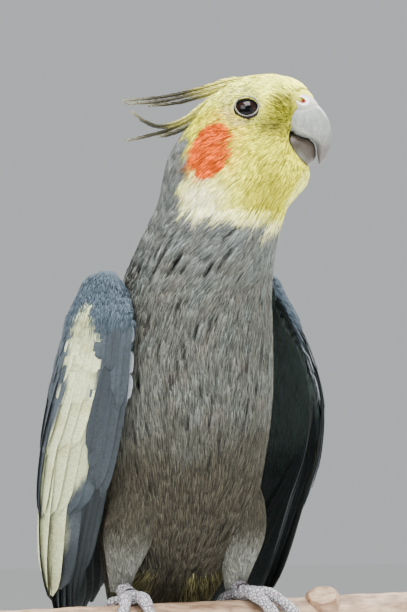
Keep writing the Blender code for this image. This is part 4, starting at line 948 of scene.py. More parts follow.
# Each barb has its own spot in a row along the top of the bake sheet, and the shafts a row above them.
barb = np.arange(len(shade)) // (2 * BARB_SIDES + 2)
sheet = np.stack([0.02 + 0.001 * (barb % 600), np.full(len(shade), 0.985)], 1)
keep(mesh_piece("crest_barbs", *lofted(rings, ends), PLUMAGE, shade, sheet), "yellow_plumage")
shade = per_ring(np.stack(shaft_tones) * 0.75, SHAFT_SIDES)
sheet = np.stack([np.linspace(0.02, 0.6, len(shade)), np.full(len(shade), 0.995)], 1)
keep(mesh_piece("crest_shafts", *lofted(np.stack(shafts)), PLUMAGE, shade, sheet), "yellow_plumage")

# The wings.
# Half-open wings hang clear of the body. Each is a fleshy arm under tiers of stiff vanes: coverts like
# shingles, then the secondaries and the long primaries. A white patch crosses the coverts' outer webs.

# Level slices of the outer face: height, leading edge, fullest place and trailing edge (across, along), and
# the arm's thickness.
RIGHT_WING = (
    (94.5, (28.2, -9.4), (31.0, -6.0), (29.5, -2.5), 1.0),
    (91.0, (26.2, -11.6), (35.0, -3.8), (22.5, 4.0), 5.6),
    (82.0, (25.4, -14.4), (37.8, -1.0), (17.5, 8.8), 6.6),
    (70.0, (25.5, -14.5), (40.2, 2.0), (14.5, 15.5), 6.0),
    (57.0, (26.0, -12.5), (42.0, 4.5), (12.0, 20.5), 4.6),
    (42.0, (26.5, -8.0), (42.6, 8.0), (10.0, 24.5), 4.2),
    (29.0, (27.5, -4.0), (41.5, 12.0), (9.0, 27.5), 3.8),
    (12.0, (28.5, 1.5), (38.6, 16.0), (8.5, 30.0), 1.8),
    (-2.0, (27.8, 9.0), (33.4, 20.5), (8.5, 32.5), 1.6),
    (-18.0, (23.8, 15.0), (27.0, 27.0), (9.0, 37.0), 1.4),
    (-34.0, (18.5, 26.0), (19.5, 35.0), (9.5, 41.5), 1.2),
    (-48.0, (14.6, 39.5), (12.6, 43.0), (9.4, 45.5), 0.8),
)
# The left wing is swung back, so that its leading edge stands furthest aside.
LEFT_WING = (
    (94.5, (25.9, -0.2), (27.8, 3.6), (26.4, 7.6), 1.0),
    (91.0, (26.3, -4.9), (30.9, 3.9), (21.5, 12.0), 5.0),
    (82.0, (28.8, -9.7), (34.1, 5.6), (17.5, 14.0), 5.6),
    (70.0, (33.0, -13.0), (36.8, 6.5), (14.5, 17.5), 5.0),
    (57.0, (35.7, -14.5), (38.6, 6.7), (12.0, 21.0), 4.4),
    (42.0, (36.0, -12.3), (39.1, 8.7), (10.0, 24.5), 4.0),
    (29.0, (33.9, -7.9), (37.9, 12.7), (9.0, 27.5), 3.6),
    (12.0, (32.0, -1.1), (34.6, 16.8), (8.5, 30.0), 1.8),
    (-2.0, (29.6, 6.6), (31.0, 21.1), (8.5, 32.5), 1.6),
    (-18.0, (25.0, 15.4), (26.2, 27.0), (9.0, 37.0), 1.4),
    (-34.0, (18.8, 26.5), (19.5, 35.0), (9.5, 41.5), 1.2),
    (-48.0, (14.6, 39.5), (12.6, 43.0), (9.4, 45.5), 0.8),
)
# Straight steps that stand for one of the face's curves, and about how long a curve is in mm.
WING_STEPS, WING_GIRTH = 32, 62.0


def wing_face(side, height, share):
    """The wing's outer face: quadratic curves from leading to trailing edge, at a share of their length."""
    height, share = np.broadcast_arrays(np.asarray(height, float), np.asarray(share, float))
    table = LEFT_WING if side > 0 else RIGHT_WING
    rows = np.array([(h, *lead, *most, *trail, thick) for h, lead, most, trail, thick in table])
    cut = smooth(rows, np.interp(-height.ravel(), -rows[:, 0], np.arange(len(rows))))
    lead, most, trail = cut[:, 1:3], cut[:, 3:5], cut[:, 5:7]
    pull = 2 * most - (lead + trail) / 2

    def curve(q):
        return (1 - q) ** 2 * lead + 2 * q * (1 - q) * pull + q * q * trail

    line = curve(np.linspace(0, 1, WING_STEPS + 1)[:, None, None])
    length = np.cumsum(np.linalg.norm(np.diff(line, axis=0), axis=2), axis=0)
    length = np.vstack([np.zeros(len(cut)), length]) / length[-1]
    wanted = np.clip(share.ravel(), 0, 1)
    i = np.clip((length <= wanted).sum(0) - 1, 0, WING_STEPS - 1)[None]
    low, high = np.take_along_axis(length, i, 0)[0], np.take_along_axis(length, i + 1, 0)[0]
    q = ((i[0] + (wanted - low) / np.maximum(high - low, 1e-9)) / WING_STEPS)[:, None]
    spot, way = curve(q), unit(-2 * (1 - q) * lead + 2 * (1 - 2 * q) * pull + 2 * q * trail)
    flat = np.zeros(len(q))
    points = np.stack([side * spot[:, 0], spot[:, 1], height.ravel()], 1)
    on = np.stack([side * way[:, 0], way[:, 1], flat], 1)
    out = np.stack([side * way[:, 1], -way[:, 0], flat], 1)
    shape = height.shape
    return points.reshape(*shape, 3), on.reshape(*shape, 3), out.reshape(*shape, 3), cut[:, 7].reshape(shape)


# A zipped vane: its barbs slope from the shaft to the edge, with a silky gloss along them. They are drawn
# every 0.5 mm, a little coarser than real ones.
BARB_SPACING, BARB_SLOPE, VANE_COLUMNS = 0.5, 1.1, 9
VANE, vane_shader = finish_look("flight_feather_vane", 0.6, Sheen_Weight=0.03, Sheen_Roughness=0.4,
                                Specular_IOR_Level=0.2)
vane_colour = add(VANE, "Attribute", attribute_name="plumage")
vane_place = add(VANE, "Attribute", attribute_name="barb")
parts = add(VANE, "SeparateXYZ", [("Vector", vane_place, "Vector")])
off_shaft = add(VANE, "Math", [(0, parts, "X")], operation="ABSOLUTE")
slant = add(VANE, "Math", [(0, off_shaft, "Value"), (2, parts, "Y")], operation="MULTIPLY_ADD")
slant.inputs[1].default_value = -BARB_SLOPE
phase = add(VANE, "Math", [(0, slant, "Value")], operation="MULTIPLY")
phase.inputs[1].default_value = 2 * math.pi / BARB_SPACING
ripple = add(VANE, "Math", [(0, phase, "Value")], operation="SINE")
ripple_level = add(VANE, "MapRange", [("Value", ripple, "Value")], From_Min=-1.0, To_Min=0.86, To_Max=1.1)
uneven = add(VANE, "TexNoise", [("Vector", vane_place, "Vector")], Scale=1.4, Detail=3.0)
uneven_level = add(VANE, "MapRange", [("Value", uneven, "Fac")],
                   From_Min=0.3, From_Max=0.7, To_Min=0.74, To_Max=1.22)
both = add(VANE, "Math", [(0, ripple_level, "Result"), (1, uneven_level, "Result")], operation="MULTIPLY")
tint = add(VANE, "VectorMath", [("Vector", vane_colour, "Color"), ("Scale", both, "Value")],
           operation="SCALE")
join_sockets(VANE, tint, "Vector", vane_shader, "Base Color")
bump_by(VANE, vane_shader, ripple, "Value", 0.25, 0.0001)


def vanes(line, across, out, width, shape, camber, thick, ragged, seed):
    """Flat feathers: line + across * v * half width - out * camber * v * v, with a raised shaft at v = 0."""
    forms, stations = line.shape[:2]
    draw = np.random.default_rng(seed)
    along = unit(np.gradient(line, axis=1))
    across = square_to(across, along)
    up = np.cross(along, across)
    up = up * np.sign(dot(up, out))
    v = np.linspace(-1, 1, VANE_COLUMNS)[:, None]
    t = np.linspace(0, 1, stations)
    half = width[:, None] / 2 * np.interp(t, *shape)
    fray = 1 + ragged * draw.normal(0, 1, (forms, stations, 2)).cumsum(1) * 0.4
    fray = np.where(v < 0, fray[..., :1, None], fray[..., 1:, None])
    half = half[..., None, None] * np.clip(fray, 0.75, 1.15)
    bow = -camber * v * v * half + 0.10 * np.exp(-((v / 0.09) ** 2))
    top = line[:, :, None] + across[:, :, None] * v * half + up[:, :, None] * bow
    deep = thick * (0.25 + 0.75 * (1 - v * v)) * np.interp(t, (0, 0.8, 1), (1.0, 0.8, 0.4))[:, None, None]
    rings = np.concatenate([top, (top - up[:, :, None] * deep)[:, :, ::-1]], 2)
    steps = np.linalg.norm(np.diff(line, axis=1), axis=2)
    travel = np.concatenate([np.zeros((forms, 1)), steps.cumsum(1)], 1)
    own = draw.uniform(0, 90, (forms, 1, 1))
    mark = np.stack(np.broadcast_arrays((v * half)[..., 0], travel[..., None], own), -1)
    mark = np.concatenate([mark, mark[:, :, ::-1]], 2)
    return rings, mark, np.concatenate([v[:, 0], v[::-1, 0]])


def vane_piece(name, rings, mark, shade, sheet_row):
    """Lofts vanes to one mesh: each lies on its own small patch of the bake sheet."""
    forms, stations, around, _ = rings.shape
    points, faces = lofted(rings)

    def spread(values):
        flat = values.reshape(forms, -1, values.shape[-1])
        ends = np.stack([values[:, 0].mean(1), values[:, -1].mean(1)], 1)
        return np.concatenate([flat, ends], 1).reshape(-1, values.shape[-1])

    u = (np.arange(forms)[:, None, None] + 0.08 + 0.84 * np.arange(around)[None, None] / around) / forms
    w = sheet_row + 0.09 * np.linspace(0, 1, stations)[:, None]
    sheet = np.stack(np.broadcast_arrays(u, w), -1)
    return mesh_piece(name, points, faces, VANE, spread(shade), spread(sheet), spread(mark))


# A vane's outlines: shares of its length, and how wide it is there as a share of its width.
ROUND_TIP = ((0, 0.12, 0.35, 0.7, 0.84, 0.92, 0.97, 1.0), (0.35, 0.75, 1.0, 1.0, 0.93, 0.75, 0.5, 0.12))
LONG_TIP = ((0, 0.12, 0.3, 0.7, 0.86, 0.94, 0.98, 1.0), (0.45, 0.85, 1.0, 0.92, 0.78, 0.56, 0.34, 0.10))
# Tiers: name, count, width, lift at root and tip, stations, outline, first and last root (height, share of
# girth), then tips (height, share) that the tier passes through.
WING_TIERS = (
    ("primary", 10, 6.2, (-2.2, -3.2), 20, LONG_TIP, ((60.0, 0.05), (50.0, 0.24)),
     ((8, 0.06), (-6, 0.13), (-21, 0.22), (-36, 0.36), (-47, 0.52), (-43, 0.66), (-36, 0.80))),
    ("secondary", 11, 9.2, (-1.8, -1.2), 16, ROUND_TIP, ((48.0, 0.20), (48.0, 0.90)),
     ((4, 0.18), (1, 0.335), (-1, 0.47), (-3, 0.61), (-2, 0.75), (3, 0.90))),
    ("tertial", 4, 8.6, (-1.2, 0.0), 14, ROUND_TIP, ((66.0, 0.74), (68.0, 0.94)),
     ((8, 0.78), (14, 0.84), (24, 0.92))),
    ("greater_covert", 15, 7.6, (-1.8, -0.5), 12, ROUND_TIP, ((62.0, 0.12), (62.0, 0.88)),
     ((27, 0.13), (25, 0.25), (24, 0.37), (24, 0.49), (26, 0.61), (29, 0.73), (34, 0.87))),
    ("median_covert", 16, 6.8, (-1.6, -0.1), 10, ROUND_TIP, ((72.0, 0.10), (72.0, 0.86)),
     ((45, 0.12), (43, 0.275), (42, 0.41), (43, 0.545), (46, 0.68), (51, 0.85))),
    ("primary_covert", 5, 4.8, (-1.0, 0.5), 14, LONG_TIP, ((74.0, 0.04), (74.0, 0.13)),
     ((31, 0.03), (34, 0.085), (42, 0.125))),
    ("alula", 3, 4.0, (-0.8, 0.9), 12, LONG_TIP, ((82.0, 0.04), (82.0, 0.10)),
     ((55, 0.03), (60, 0.06), (66, 0.10))),
)
# The white patch on the outer face: height, its leading and its trailing side as shares of the girth.
WHITE_PATCH = (
    (-6.0, 0.20, 0.29),
    (0.0, 0.21, 0.315),
    (8.5, 0.198, 0.345),
    (17.0, 0.176, 0.327),
    (27.6, 0.187, 0.329),
    (38.5, 0.14, 0.33),
    (49.0, 0.15, 0.335),
    (61.8, 0.158, 0.315),
    (68.4, 0.164, 0.34),
    (75.5, 0.176, 0.36),
    (82.6, 0.262, 0.348),
    (88.0, 0.30, 0.31),
)


def wing_tone(height, share, slate):
    """The outer face: slate, mottled lighter, with a painted highlight along the leading edge and cream
    between the two sides of the white patch.
    """
    levels, near, far = np.array(WHITE_PATCH).T
    near, far = np.interp(height, levels, near), np.interp(height, levels, far)
    patch = rise(share - near, -0.004, 0.010) * rise(far - share, -0.010, 0.004) * rise(-height, -89, -86)
    marks = np.stack([height, share * WING_GIRTH, 0 * height], -1)
    shade = np.broadcast_to(linear(slate), (*height.shape, 3))
    shade = blend(shade, "#495661", 0.6 * rise(height, 66, 86))
    shade = blend(shade, "#424B51", 0.4 * rise(wave(marks, 9.0, 14), 0.0, 0.9))
    # The pale band along the leading edge is a painted rim of light.
    shade = blend(shade, "#8A9094", 0.55 * rise(-share, -0.05, -0.01) * rise(height, 20, 40) *
                  (1 - rise(height, 70, 78)))
    cream = np.broadcast_to(linear("#A8AE88"), shade.shape)
    cream = blend(cream, "#8E8C60", 0.6 * rise(wave(marks, 5.0, 15), 0.1, 0.9))
    return shade + (cream - shade) * patch[..., None]


# Slate of the outer face by tier. The arm and the smaller coverts have one tone, and so has the inner face.
TIER_SLATES = {"primary": "#1E2528", "secondary": "#242B30", "tertial": "#33383B", "alula": "#2B3238",
               "primary_covert": "#252C31", "greater_covert": "#283036"}
COVERT_SLATE, INNER_SLATE = "#343B41", "#2A3130"


def vane_tone(tier, height, share, centre, v, inside, draw):
    """A vane takes the tone of its own middle, with darker shaft, paler edges and a near black inner face."""
    slate = TIER_SLATES.get(tier, COVERT_SLATE)
    if tier in ("secondary", "greater_covert", "median_covert", "lesser_covert"):
        ragged = draw.uniform(-0.012, 0.012, (len(height), 1, 1))
        shade = wing_tone(height, 0.45 * share + 0.55 * centre + ragged, slate)
    else:
        shade = np.broadcast_to(linear(slate), (*height.shape, 3))
    level = 1 - 0.25 * (1 - rise(abs(v), 0.02, 0.14)) + 0.30 * rise(abs(v), 0.78, 0.98)
    return blend(shade * level[..., None], "#242B2A" if tier == "primary" else INNER_SLATE, inside * 0.97)


def shingles(side, name, root_height, root_share, tip_height, tip_share, width, lifts, stations, shape, seed,
             tilt=0.35):
    """Vanes laid like shingles: each is tilted so that its rear edge lies under the feather behind it."""
    draw = np.random.default_rng(seed)
    count = len(root_height)
    t = np.linspace(0, 1, stations)[None]
    height = root_height[:, None] + (tip_height - root_height)[:, None] * t
    share = root_share[:, None] + (tip_share - root_share)[:, None] * t
    points, on, out, _ = wing_face(side, height, share)
    lift = lifts[0] + (lifts[1] - lifts[0]) * np.interp(t, (0, 0.3, 1), (0, 0.9, 1))
    if name == "primary":
        order = np.arange(count)[:, None] - (count - 1) / 2
        lift = lift + 0.28 * order * np.interp(t, (0, 0.5, 1), (0, 1, 1))
        tilt = 0.55
    apart = np.linalg.norm(np.diff(points, axis=0), axis=2)
    pitch = np.concatenate([apart, apart[-1:]])
    slope = np.minimum(tilt / np.maximum(pitch, 0.4), 0.5)
    line = points + out * (lift + draw.uniform(-0.06, 0.06, (count, 1)))[..., None]
    rings, mark, v = vanes(line, on - out * slope[..., None], out, width, shape, 0.06, 0.22, 0.02, seed)
    here = share[..., None] + mark[..., 0] / WING_GIRTH
    inside = np.arange(len(v)) >= VANE_COLUMNS
    height = np.broadcast_to(height[..., None], here.shape)
    shade = vane_tone(name, height, here, share[:, -1:, None], v, inside, draw)
    shade = shade * draw.uniform(0.82, 1.12, (count, 1, 1, 1))
    return rings, mark, shade * (0.88 + 0.14 * t[0])[:, None, None]


def tier_rows(count, roots, tips, seed):
    """Even steps from a tier's first root to its last, and tips on straight lines through its places."""
    order = np.linspace(0, 1, count)
    roots = np.array(roots[0]) + (np.array(roots[1]) - roots[0]) * order[:, None]
    at, tips = np.linspace(0, 1, len(tips)), np.array(tips, float)
    drop = np.random.default_rng(seed).uniform(-1.0, 1.0, count)
    return *roots.T, np.interp(order, at, tips[:, 0]) + drop, np.interp(order, at, tips[:, 1])


# The arm's top, and how many places it has across a face and down it.
ARM_TOP, ARM_ACROSS, ARM_DOWN = 94.3, 41, 24


def arm_surface(side, place, angle):
    """The arm: its outer face for turns below half a circle, its inner face beyond, joined at both edges."""
    place, angle = np.broadcast_arrays(np.asarray(place, float), angle)
    turn = np.mod(-side * angle, 2 * math.pi)
    share = 1 - abs(turn / math.pi - 1)
    arch = np.sin(math.pi * share)
    low = 38.0 + 24.0 * (1 - arch**0.6)
    points, _, out, thick = wing_face(side, ARM_TOP + (low - ARM_TOP) * place, share)
    thin = np.interp(place, (0, 0.9, 1), (1, 1, 0.4))
    behind = rise(-np.sin(turn), -0.12, 0.12)
    depth = 0.8 + (thick * (0.25 + 0.75 * np.sqrt(arch)) * thin - 0.8) * behind
    return points - out * np.maximum(depth, 0.8)[..., None]


for word, side in HANDS:
    def arm_skin(place, angle):
        return arm_surface(side, place, angle)

    def arm_place(points):
        girth = wing_face(side, points[:, 2][:, None], np.linspace(0, 1, ARM_ACROSS)[None])[0]
        return np.linalg.norm(girth - points[:, None], axis=2).argmin(1) / (ARM_ACROSS - 1)

    def arm_patch(points):
        return np.stack([0.85 + 0.05 * side + 0.004 * points[:, 1], 0.1 + 0.009 * points[:, 2]], 1)

    share = np.linspace(0, 1, ARM_ACROSS)[:, None]
    down = np.linspace(0, 1, ARM_DOWN)
    turn = np.where(np.arange(2 * ARM_DOWN) < ARM_DOWN, math.pi * share, math.pi * (2 - share))
    points, faces = lofted(arm_skin(np.concatenate([down, down[::-1]]), -side * turn)[None])
    behind = np.concatenate([(turn > math.pi).ravel(), [False, False]])
    shade = blend(wing_tone(points[:, 2], arm_place(points), COVERT_SLATE), INNER_SLATE, behind)
    # The arm's skin is painted a little darker than the coat's tone, as shade under the feathers.
    arm = mesh_piece(f"wing_{word}_arm", points, faces, PLUMAGE, shade * 0.8, arm_patch(points))
    keep(arm, "flight_feathers", f"wing_{word}")
    for number, (name, count, width, lifts, stations, shape, roots, tips) in enumerate(WING_TIERS):
        rows, widths = tier_rows(count, roots, tips, 80 + number), np.full(count, width)
        tier = shingles(side, name, *rows, widths, lifts, stations, shape, 100 + number)
        keep(vane_piece(f"wing_{word}_{name}s", *tier, 0.1 * number), "flight_feathers")
    # Lesser coverts: short round feathers in uneven rows from the wrist down to the median coverts.
    draw = np.random.default_rng(200)
    row, order = np.meshgrid(np.arange(7), np.arange(18), indexing="ij")
    level = np.array((85.4, 82.8, 80.0, 76.8, 73.2, 69.2, 65.0))[row]
    scattered = draw.uniform(-0.25, 0.25, row.shape) * np.interp(row, (0, 2, 6), (9, 3, 5))
    root_height = (level + scattered).ravel()
    root_share = 0.03 + (order + 0.5 * (row % 2)) * 0.053 + draw.uniform(-0.008, 0.008, row.shape)
    root_share = np.clip(root_share.ravel(), 0.02, 0.97)
    length = np.interp(row.ravel(), (0, 9), (4.0, 11.5)) * draw.uniform(0.9, 1.15, row.size)
    girth = wing_face(side, level[:, :1], np.linspace(0, 1, 17)[None])[0]
    girth = np.linalg.norm(np.diff(girth, axis=1), axis=2).sum(1)
    width = np.minimum(np.interp(row, (0, 6), (3.4, 6.2)), girth[:, None] * 0.13).ravel()
    tier = shingles(side, "lesser_covert", root_height, root_share, root_height - length, root_share, width,
                    (-0.8, 0.1), 8, ROUND_TIP, 201, 0.0)
    keep(vane_piece(f"wing_{word}_lesser_coverts", *tier, 0.75), "grey_plumage")
    # Soft small feathers over the wrist and along the front edge, and dark ones under the arm.
    place, angle = scatter(arm_skin, 0.0, 0.97, 1.05, 210 + side)
    roots = arm_skin(place, angle)
    turn, share = np.mod(-side * angle, 2 * math.pi), arm_place(roots)
    shown = (roots[:, 2] > 77.0) | (turn > math.pi) | (share < 0.02)
    place, angle, turn, share, roots = place[shown], angle[shown], turn[shown], share[shown], roots[shown]
    out = outward(arm_skin, place, angle)
    way = -UP + np.array((0.0, 0.25, 0.0))
    lie = turned(square_to(way, out), out, 0.1 * wave(roots, 7.0, 17))
    shade = blend(wing_tone(roots[:, 2], share, COVERT_SLATE), "#2F3836", rise(turn, 3.1, 3.4))[:, None]

    def arm_paint(rooted, middle):
        return shade * (1.3 + 0.1 * wave(rooted, 3.5, 18))[..., None]

    size = np.interp(roots[:, 2], (60, 94), (6.0, 4.2))
    raised = np.interp(roots[:, 2], (76.0, 83.0, 90.0), (0.5, 1.7, 0.9))
    coat = tuft_coat(f"wing_{word}_soft_coverts", arm_skin, place, angle, lie, size, 2.2, 8, 0.13, raised,
                     arm_paint, arm_patch(roots), 220)
    keep(coat, "grey_plumage")

# The tail.
# Twelve long tail feathers in steps, longest in the middle, with soft coverts over and under their roots.
# The tail hangs straight down behind the perch, slate above and near black below.
TAIL_LEAN = math.radians(20.0)
TAIL_ROOT = np.array((0.0, 26.8, -21.5))
TAIL_LENGTH = 118.0
# From the middle out: sides, share of the longest, width, level over the tail's plane, tilt in degrees, and
# how far aside its root and its tip lie. The two middle feathers lie over each other.
RECTRICES = (
    ((-1,), 1.00, 7.4, 1.9, 0.0, 0.9, 1.2),
    ((1,), 0.985, 7.4, 0.95, 0.0, 0.9, 1.2),
    ((-1, 1), 0.90, 8.2, 0.0, 6.0, 2.9, 4.35),
    ((-1, 1), 0.81, 8.2, -1.0, 6.0, 3.7, 5.5),
    ((-1, 1), 0.73, 8.2, -2.0, 6.0, 4.5, 6.65),
    ((-1, 1), 0.65, 8.2, -3.0, 6.0, 5.3, 7.8),
    ((-1, 1), 0.57, 7.6, -4.0, 6.0, 6.1, 8.95),
)
# Its coverts, over and under: count, length, level at the middle, colour.
TAIL_COVERTS = (
    (7, 27.0, 4.0, "#4A4F53"),
    (9, 16.0, 4.8, "#4B4E4C"),
    (9, 34.0, -6.4, "#605C42"),
    (9, 22.0, -6.9, "#68623F"),
)
# The stump that they all grow from: place down the tail, half width, half thickness.
TAIL_STUMP = ((-3.0, 6.0, 3.4), (2.0, 7.4, 3.4), (9.0, 8.2, 2.9), (15.0, 7.6, 1.4))
TAIL_DOWN = np.array((0.0, math.sin(TAIL_LEAN), -math.cos(TAIL_LEAN)))
TAIL_OVER = np.array((0.0, math.cos(TAIL_LEAN), math.sin(TAIL_LEAN)))


def tail_spots(across, down, level):
    """Places in the tail's frame: across it, down it from the rump, and over its plane."""
    across, down, level = np.broadcast_arrays(np.asarray(across, float), down, level)
    in_plane = across[..., None] * (1, 0, 0) + down[..., None] * TAIL_DOWN
    return TAIL_ROOT + in_plane + level[..., None] * TAIL_OVER


TAIL_TIP = ((0, 0.25, 0.7, 0.86, 0.94, 0.98, 1.0), (0.45, 1.0, 0.9, 0.74, 0.52, 0.32, 0.08))
lines, acrosses, widths = [], [], []
t = np.linspace(0, 1, 30)
for sides, share_long, width, level, tilt, root, tip in RECTRICES:
    for side in sides:
        down = 1.5 + (TAIL_LENGTH * share_long - 1.5) * t
        aside = side * (root + (tip - root) * np.interp(t, (0, 0.3, 1), (0, 1, 1)))
        lines.append(tail_spots(aside, down, level * np.interp(down, (1.5, 22.0), (0.42, 1.0))))
        acrosses.append((1, 0, 0) - side * math.tan(math.radians(tilt)) * TAIL_OVER)
        widths.append(width)
rings, mark, v = vanes(np.stack(lines), np.array(acrosses)[:, None], TAIL_OVER, np.array(widths), TAIL_TIP,
                       0.06, 0.35, 0.02, 61)
shade = np.broadcast_to(linear("#43484E"), rings.shape)
shade = blend(shade, "#62686E", 0.5 * rise(abs(v), 0.75, 1.0))
shade = blend(shade, "#2A2D30", 0.6 * (1 - rise(abs(v), 0.03, 0.12)))
shade = blend(shade, "#24272A", 0.9 * (np.arange(len(v)) >= VANE_COLUMNS))
keep(vane_piece("tail_feathers", rings, mark, shade, 0.85), "flight_feathers", "tail")
down, half, thick = np.array(TAIL_STUMP).T[:, :, None]
angle = np.arange(40) * 2 * math.pi / 40
points, faces = lofted(tail_spots(half * np.cos(angle), down, -0.6 + thick * np.sin(angle))[None])
shade = np.broadcast_to(linear("#4A4B45"), points.shape)
sheet = np.stack([0.3 + 0.004 * points[:, 0], np.full(len(points), 0.02)], 1)
keep(mesh_piece("tail_root", points, faces, PLUMAGE, shade, sheet), "grey_plumage")
lines, acrosses, tones = [], [], []
t = np.linspace(0, 1, 14)
for count, length, level, code in TAIL_COVERTS:
    for aside in np.linspace(-2, 2, count):
        down = -10.0 + (length + 10.0 - 1.6 * aside**2) * t
        over = (level - 0.75 * np.sign(level) * abs(aside)) * np.interp(t, (0, 0.35, 1), (0.45, 1.0, 0.96))
        lines.append(tail_spots(aside * (1.9 + 1.3 * t), down, over))
        acrosses.append((1, 0, 0) - 0.06 * aside * np.sign(level) * TAIL_OVER)
        tones.append(linear(code))
rings, mark, v = vanes(np.stack(lines), np.array(acrosses)[:, None], TAIL_OVER, np.full(len(lines), 5.4),
                       ROUND_TIP, 0.10, 0.30, 0.05, 62)
shade = np.ones_like(rings) * np.array(tones)[:, None, None]
shade = shade * (0.8 + 0.45 * rise(abs(v), 0.3, 1.0))[:, None]
keep(vane_piece("tail_coverts", rings, mark, shade, 0.9), "grey_plumage")

# The feet.
# Bare feet grip the branch, two toes forward and two back. The skin is pale pink-grey, in rings of
# scutes on top and pebbled below, with darker pink between the scales. Each toe ends in a horn claw.
PERCH_RADIUS, PERCH_RISE, FOOT_ACROSS = 8.0, 0.028, 18.5
# Toes: start and end of the turn round the branch in degrees, outward place at root and tip, radius.
RIGHT_TOES = (
    (0.0, 100.0, -1.6, -2.4, 1.9),
    (0.0, 94.0, 1.9, 10.0, 1.8),
    (-8.0, -96.0, -1.8, -4.5, 1.8),
    (-8.0, -82.0, 1.8, 5.5, 1.6),
)
LEFT_TOES = (
    (0.0, 98.0, -1.5, 8.0, 1.9),
    (0.0, 92.0, 1.9, 16.0, 1.8),
    (-8.0, -96.0, -1.8, -4.5, 1.8),
    (-8.0, -82.0, 1.8, 5.0, 1.6),
)


def perch_line(x):
    """The branch's middle and radius: a slow sine each way, and a steady rise to the bird's left."""
    x = np.asarray(x, float)
    radius = PERCH_RADIUS + 0.35 * np.sin(x / 17.0) + 0.2 * np.sin(x / 7.3 + 1.0)
    return np.stack([x, 0.9 * np.sin(x / 40.0), PERCH_RISE * x - radius], -1), radius


def round_perch(x, turn, lift):
    """A point off the bark: the middle plus (radius + lift) times (-sin(turn), cos(turn)) in y and z."""
    middle, radius = perch_line(x)
    reach = (radius + lift)[..., None]
    return middle + reach * np.stack(np.broadcast_arrays(0.0, -np.sin(turn), np.cos(turn)), -1)


def two_tones(look, shader, share, output, low, high):
    """A colour between two hex colours, by a share from 0 to 1."""
    mix = add(look, "Mix", [("Factor", share, output)], data_type="RGBA")
    mix.inputs["A"].default_value = (*linear(low), 1.0)
    mix.inputs["B"].default_value = (*linear(high), 1.0)
    join_sockets(look, mix, "Result", shader, "Base Color")


FOOT, foot_shader = finish_look("scaly_foot_skin", 0.6, Subsurface_Weight=0.06, Subsurface_Scale=0.001)
# Pebbled scales about 0.9 mm across.
scales = grain_of(FOOT, "TexVoronoi", feature="DISTANCE_TO_EDGE", Scale=1150.0)
plate = add(FOOT, "MapRange", [("Value", scales, "Distance")], From_Min=0.02, From_Max=0.22)
two_tones(FOOT, foot_shader, plate, "Result", "#4E444C", "#A9A9AC")
bump_by(FOOT, foot_shader, plate, "Result", 0.7, 0.0003)
CLAW, claw_shader = finish_look("claw_horn", 0.35, Specular_IOR_Level=0.5)
two_tones(CLAW, claw_shader, grain_of(CLAW, Scale=900.0, Detail=3.0), "Fac", "#3B3534", "#6A605C")
# Stations along a toe or a shank, and sides round it.
TOE_STATIONS, TOE_SIDES = 64, 28
ACROSS = np.array((1.0, 0.0, 0.0))
for word, side, toes in (("right", -1, RIGHT_TOES), ("left", 1, LEFT_TOES)):
    limbs = []
    for number, (begin, end, root, tip, radius) in enumerate(toes):
        share = np.linspace(0, 1, TOE_STATIONS)
        across = side * (FOOT_ACROSS + root * np.clip(share * 4, 0.35, 1) + (tip - root) * share**1.15)
        lift = radius + 0.25 + 0.9 * np.sin(np.pi * np.clip(share * 1.25, 0, 1)) * (end > 0)
        turn = np.radians(begin + (end - begin) * share)
        line = round_perch(across, turn, lift)
        joints = radius * (1 + 0.10 * np.cos(share * 2 * math.pi * 3)) * (1 - 0.22 * share)
        scutes = 1 + 0.05 * abs(np.sin(share * math.pi * 11)) ** 0.6
        round_end = np.sqrt(np.clip(np.minimum((share + 0.01) / 0.05, (1.01 - share) / 0.06), 0.05, 1))
        limbs.append(tube_rings(line, joints * scutes * round_end, ACROSS, TOE_SIDES))
        way = unit(line[-1] - line[-4])
        middle = np.array((line[-1, 0], 0.0, -PERCH_RADIUS))
        inward = square_to(middle - line[-1], way)
        reach = np.linspace(0, 1, 36)[:, None]
        claw = line[-1] + way * (6.3 * reach - 0.5) + inward * 1.7 * reach**2
        thin = joints[-1] * np.interp(reach[:, 0], (0, 0.25, 0.5, 0.75, 1), (0.74, 0.68, 0.52, 0.32, 0.06))
        horn = lofted(tube_rings(claw, thin, ACROSS, 20)[None])
        name = f"claw_{word}_{number + 1}"
        keep(mesh_piece(f"{name}_horn", *horn, CLAW), "claw_horn", name)
    pad = round_perch(np.array(side * FOOT_ACROSS), np.array(0.0), 2.3)
    ankle = np.array((side * THIGH[-1][0], THIGH[-1][1] + 1.0, THIGH[-1][2] + 2.4))
    shank = np.stack([ankle, (pad + ankle) / 2 + (0.0, 0.6, 0.4), pad, pad + (0, -0.8, 0.1)])
    place = np.linspace(0, 3, TOE_STATIONS)
    radii = np.interp(place, (0, 1, 2, 2.7, 3), (2.4, 2.3, 2.7, 2.2, 0.8))
    limbs.append(tube_rings(smooth(shank, place), radii, ACROSS, TOE_SIDES))
    keep(mesh_piece(f"foot_{word}_skin", *lofted(np.stack(limbs)), FOOT), "foot_skin", f"foot_{word}")

# The perch.
# A cut length of smooth branch with thin pinkish bark, a few rings and lenticels, and the sawn stub of a
# side shoot. Both ends are sawn and show pale wood.
BRANCH_HALF, STUB_SIDES = 75.0, 64
# The stub from its root outwards: reach along its middle line, and radius.
STUB = (
    (0.0, 5.6),
    (2.0, 5.3),
    (4.0, 5.0),
    (6.0, 4.9),
    (7.6, 5.0),
    (8.8, 5.0),
    (9.8, 4.8),
    (10.5, 4.6),
    (10.9, 4.2),
    (11.0, 3.8),
    (11.0, 3.2),
    (10.95, 2.2),
    (10.9, 1.0),
)


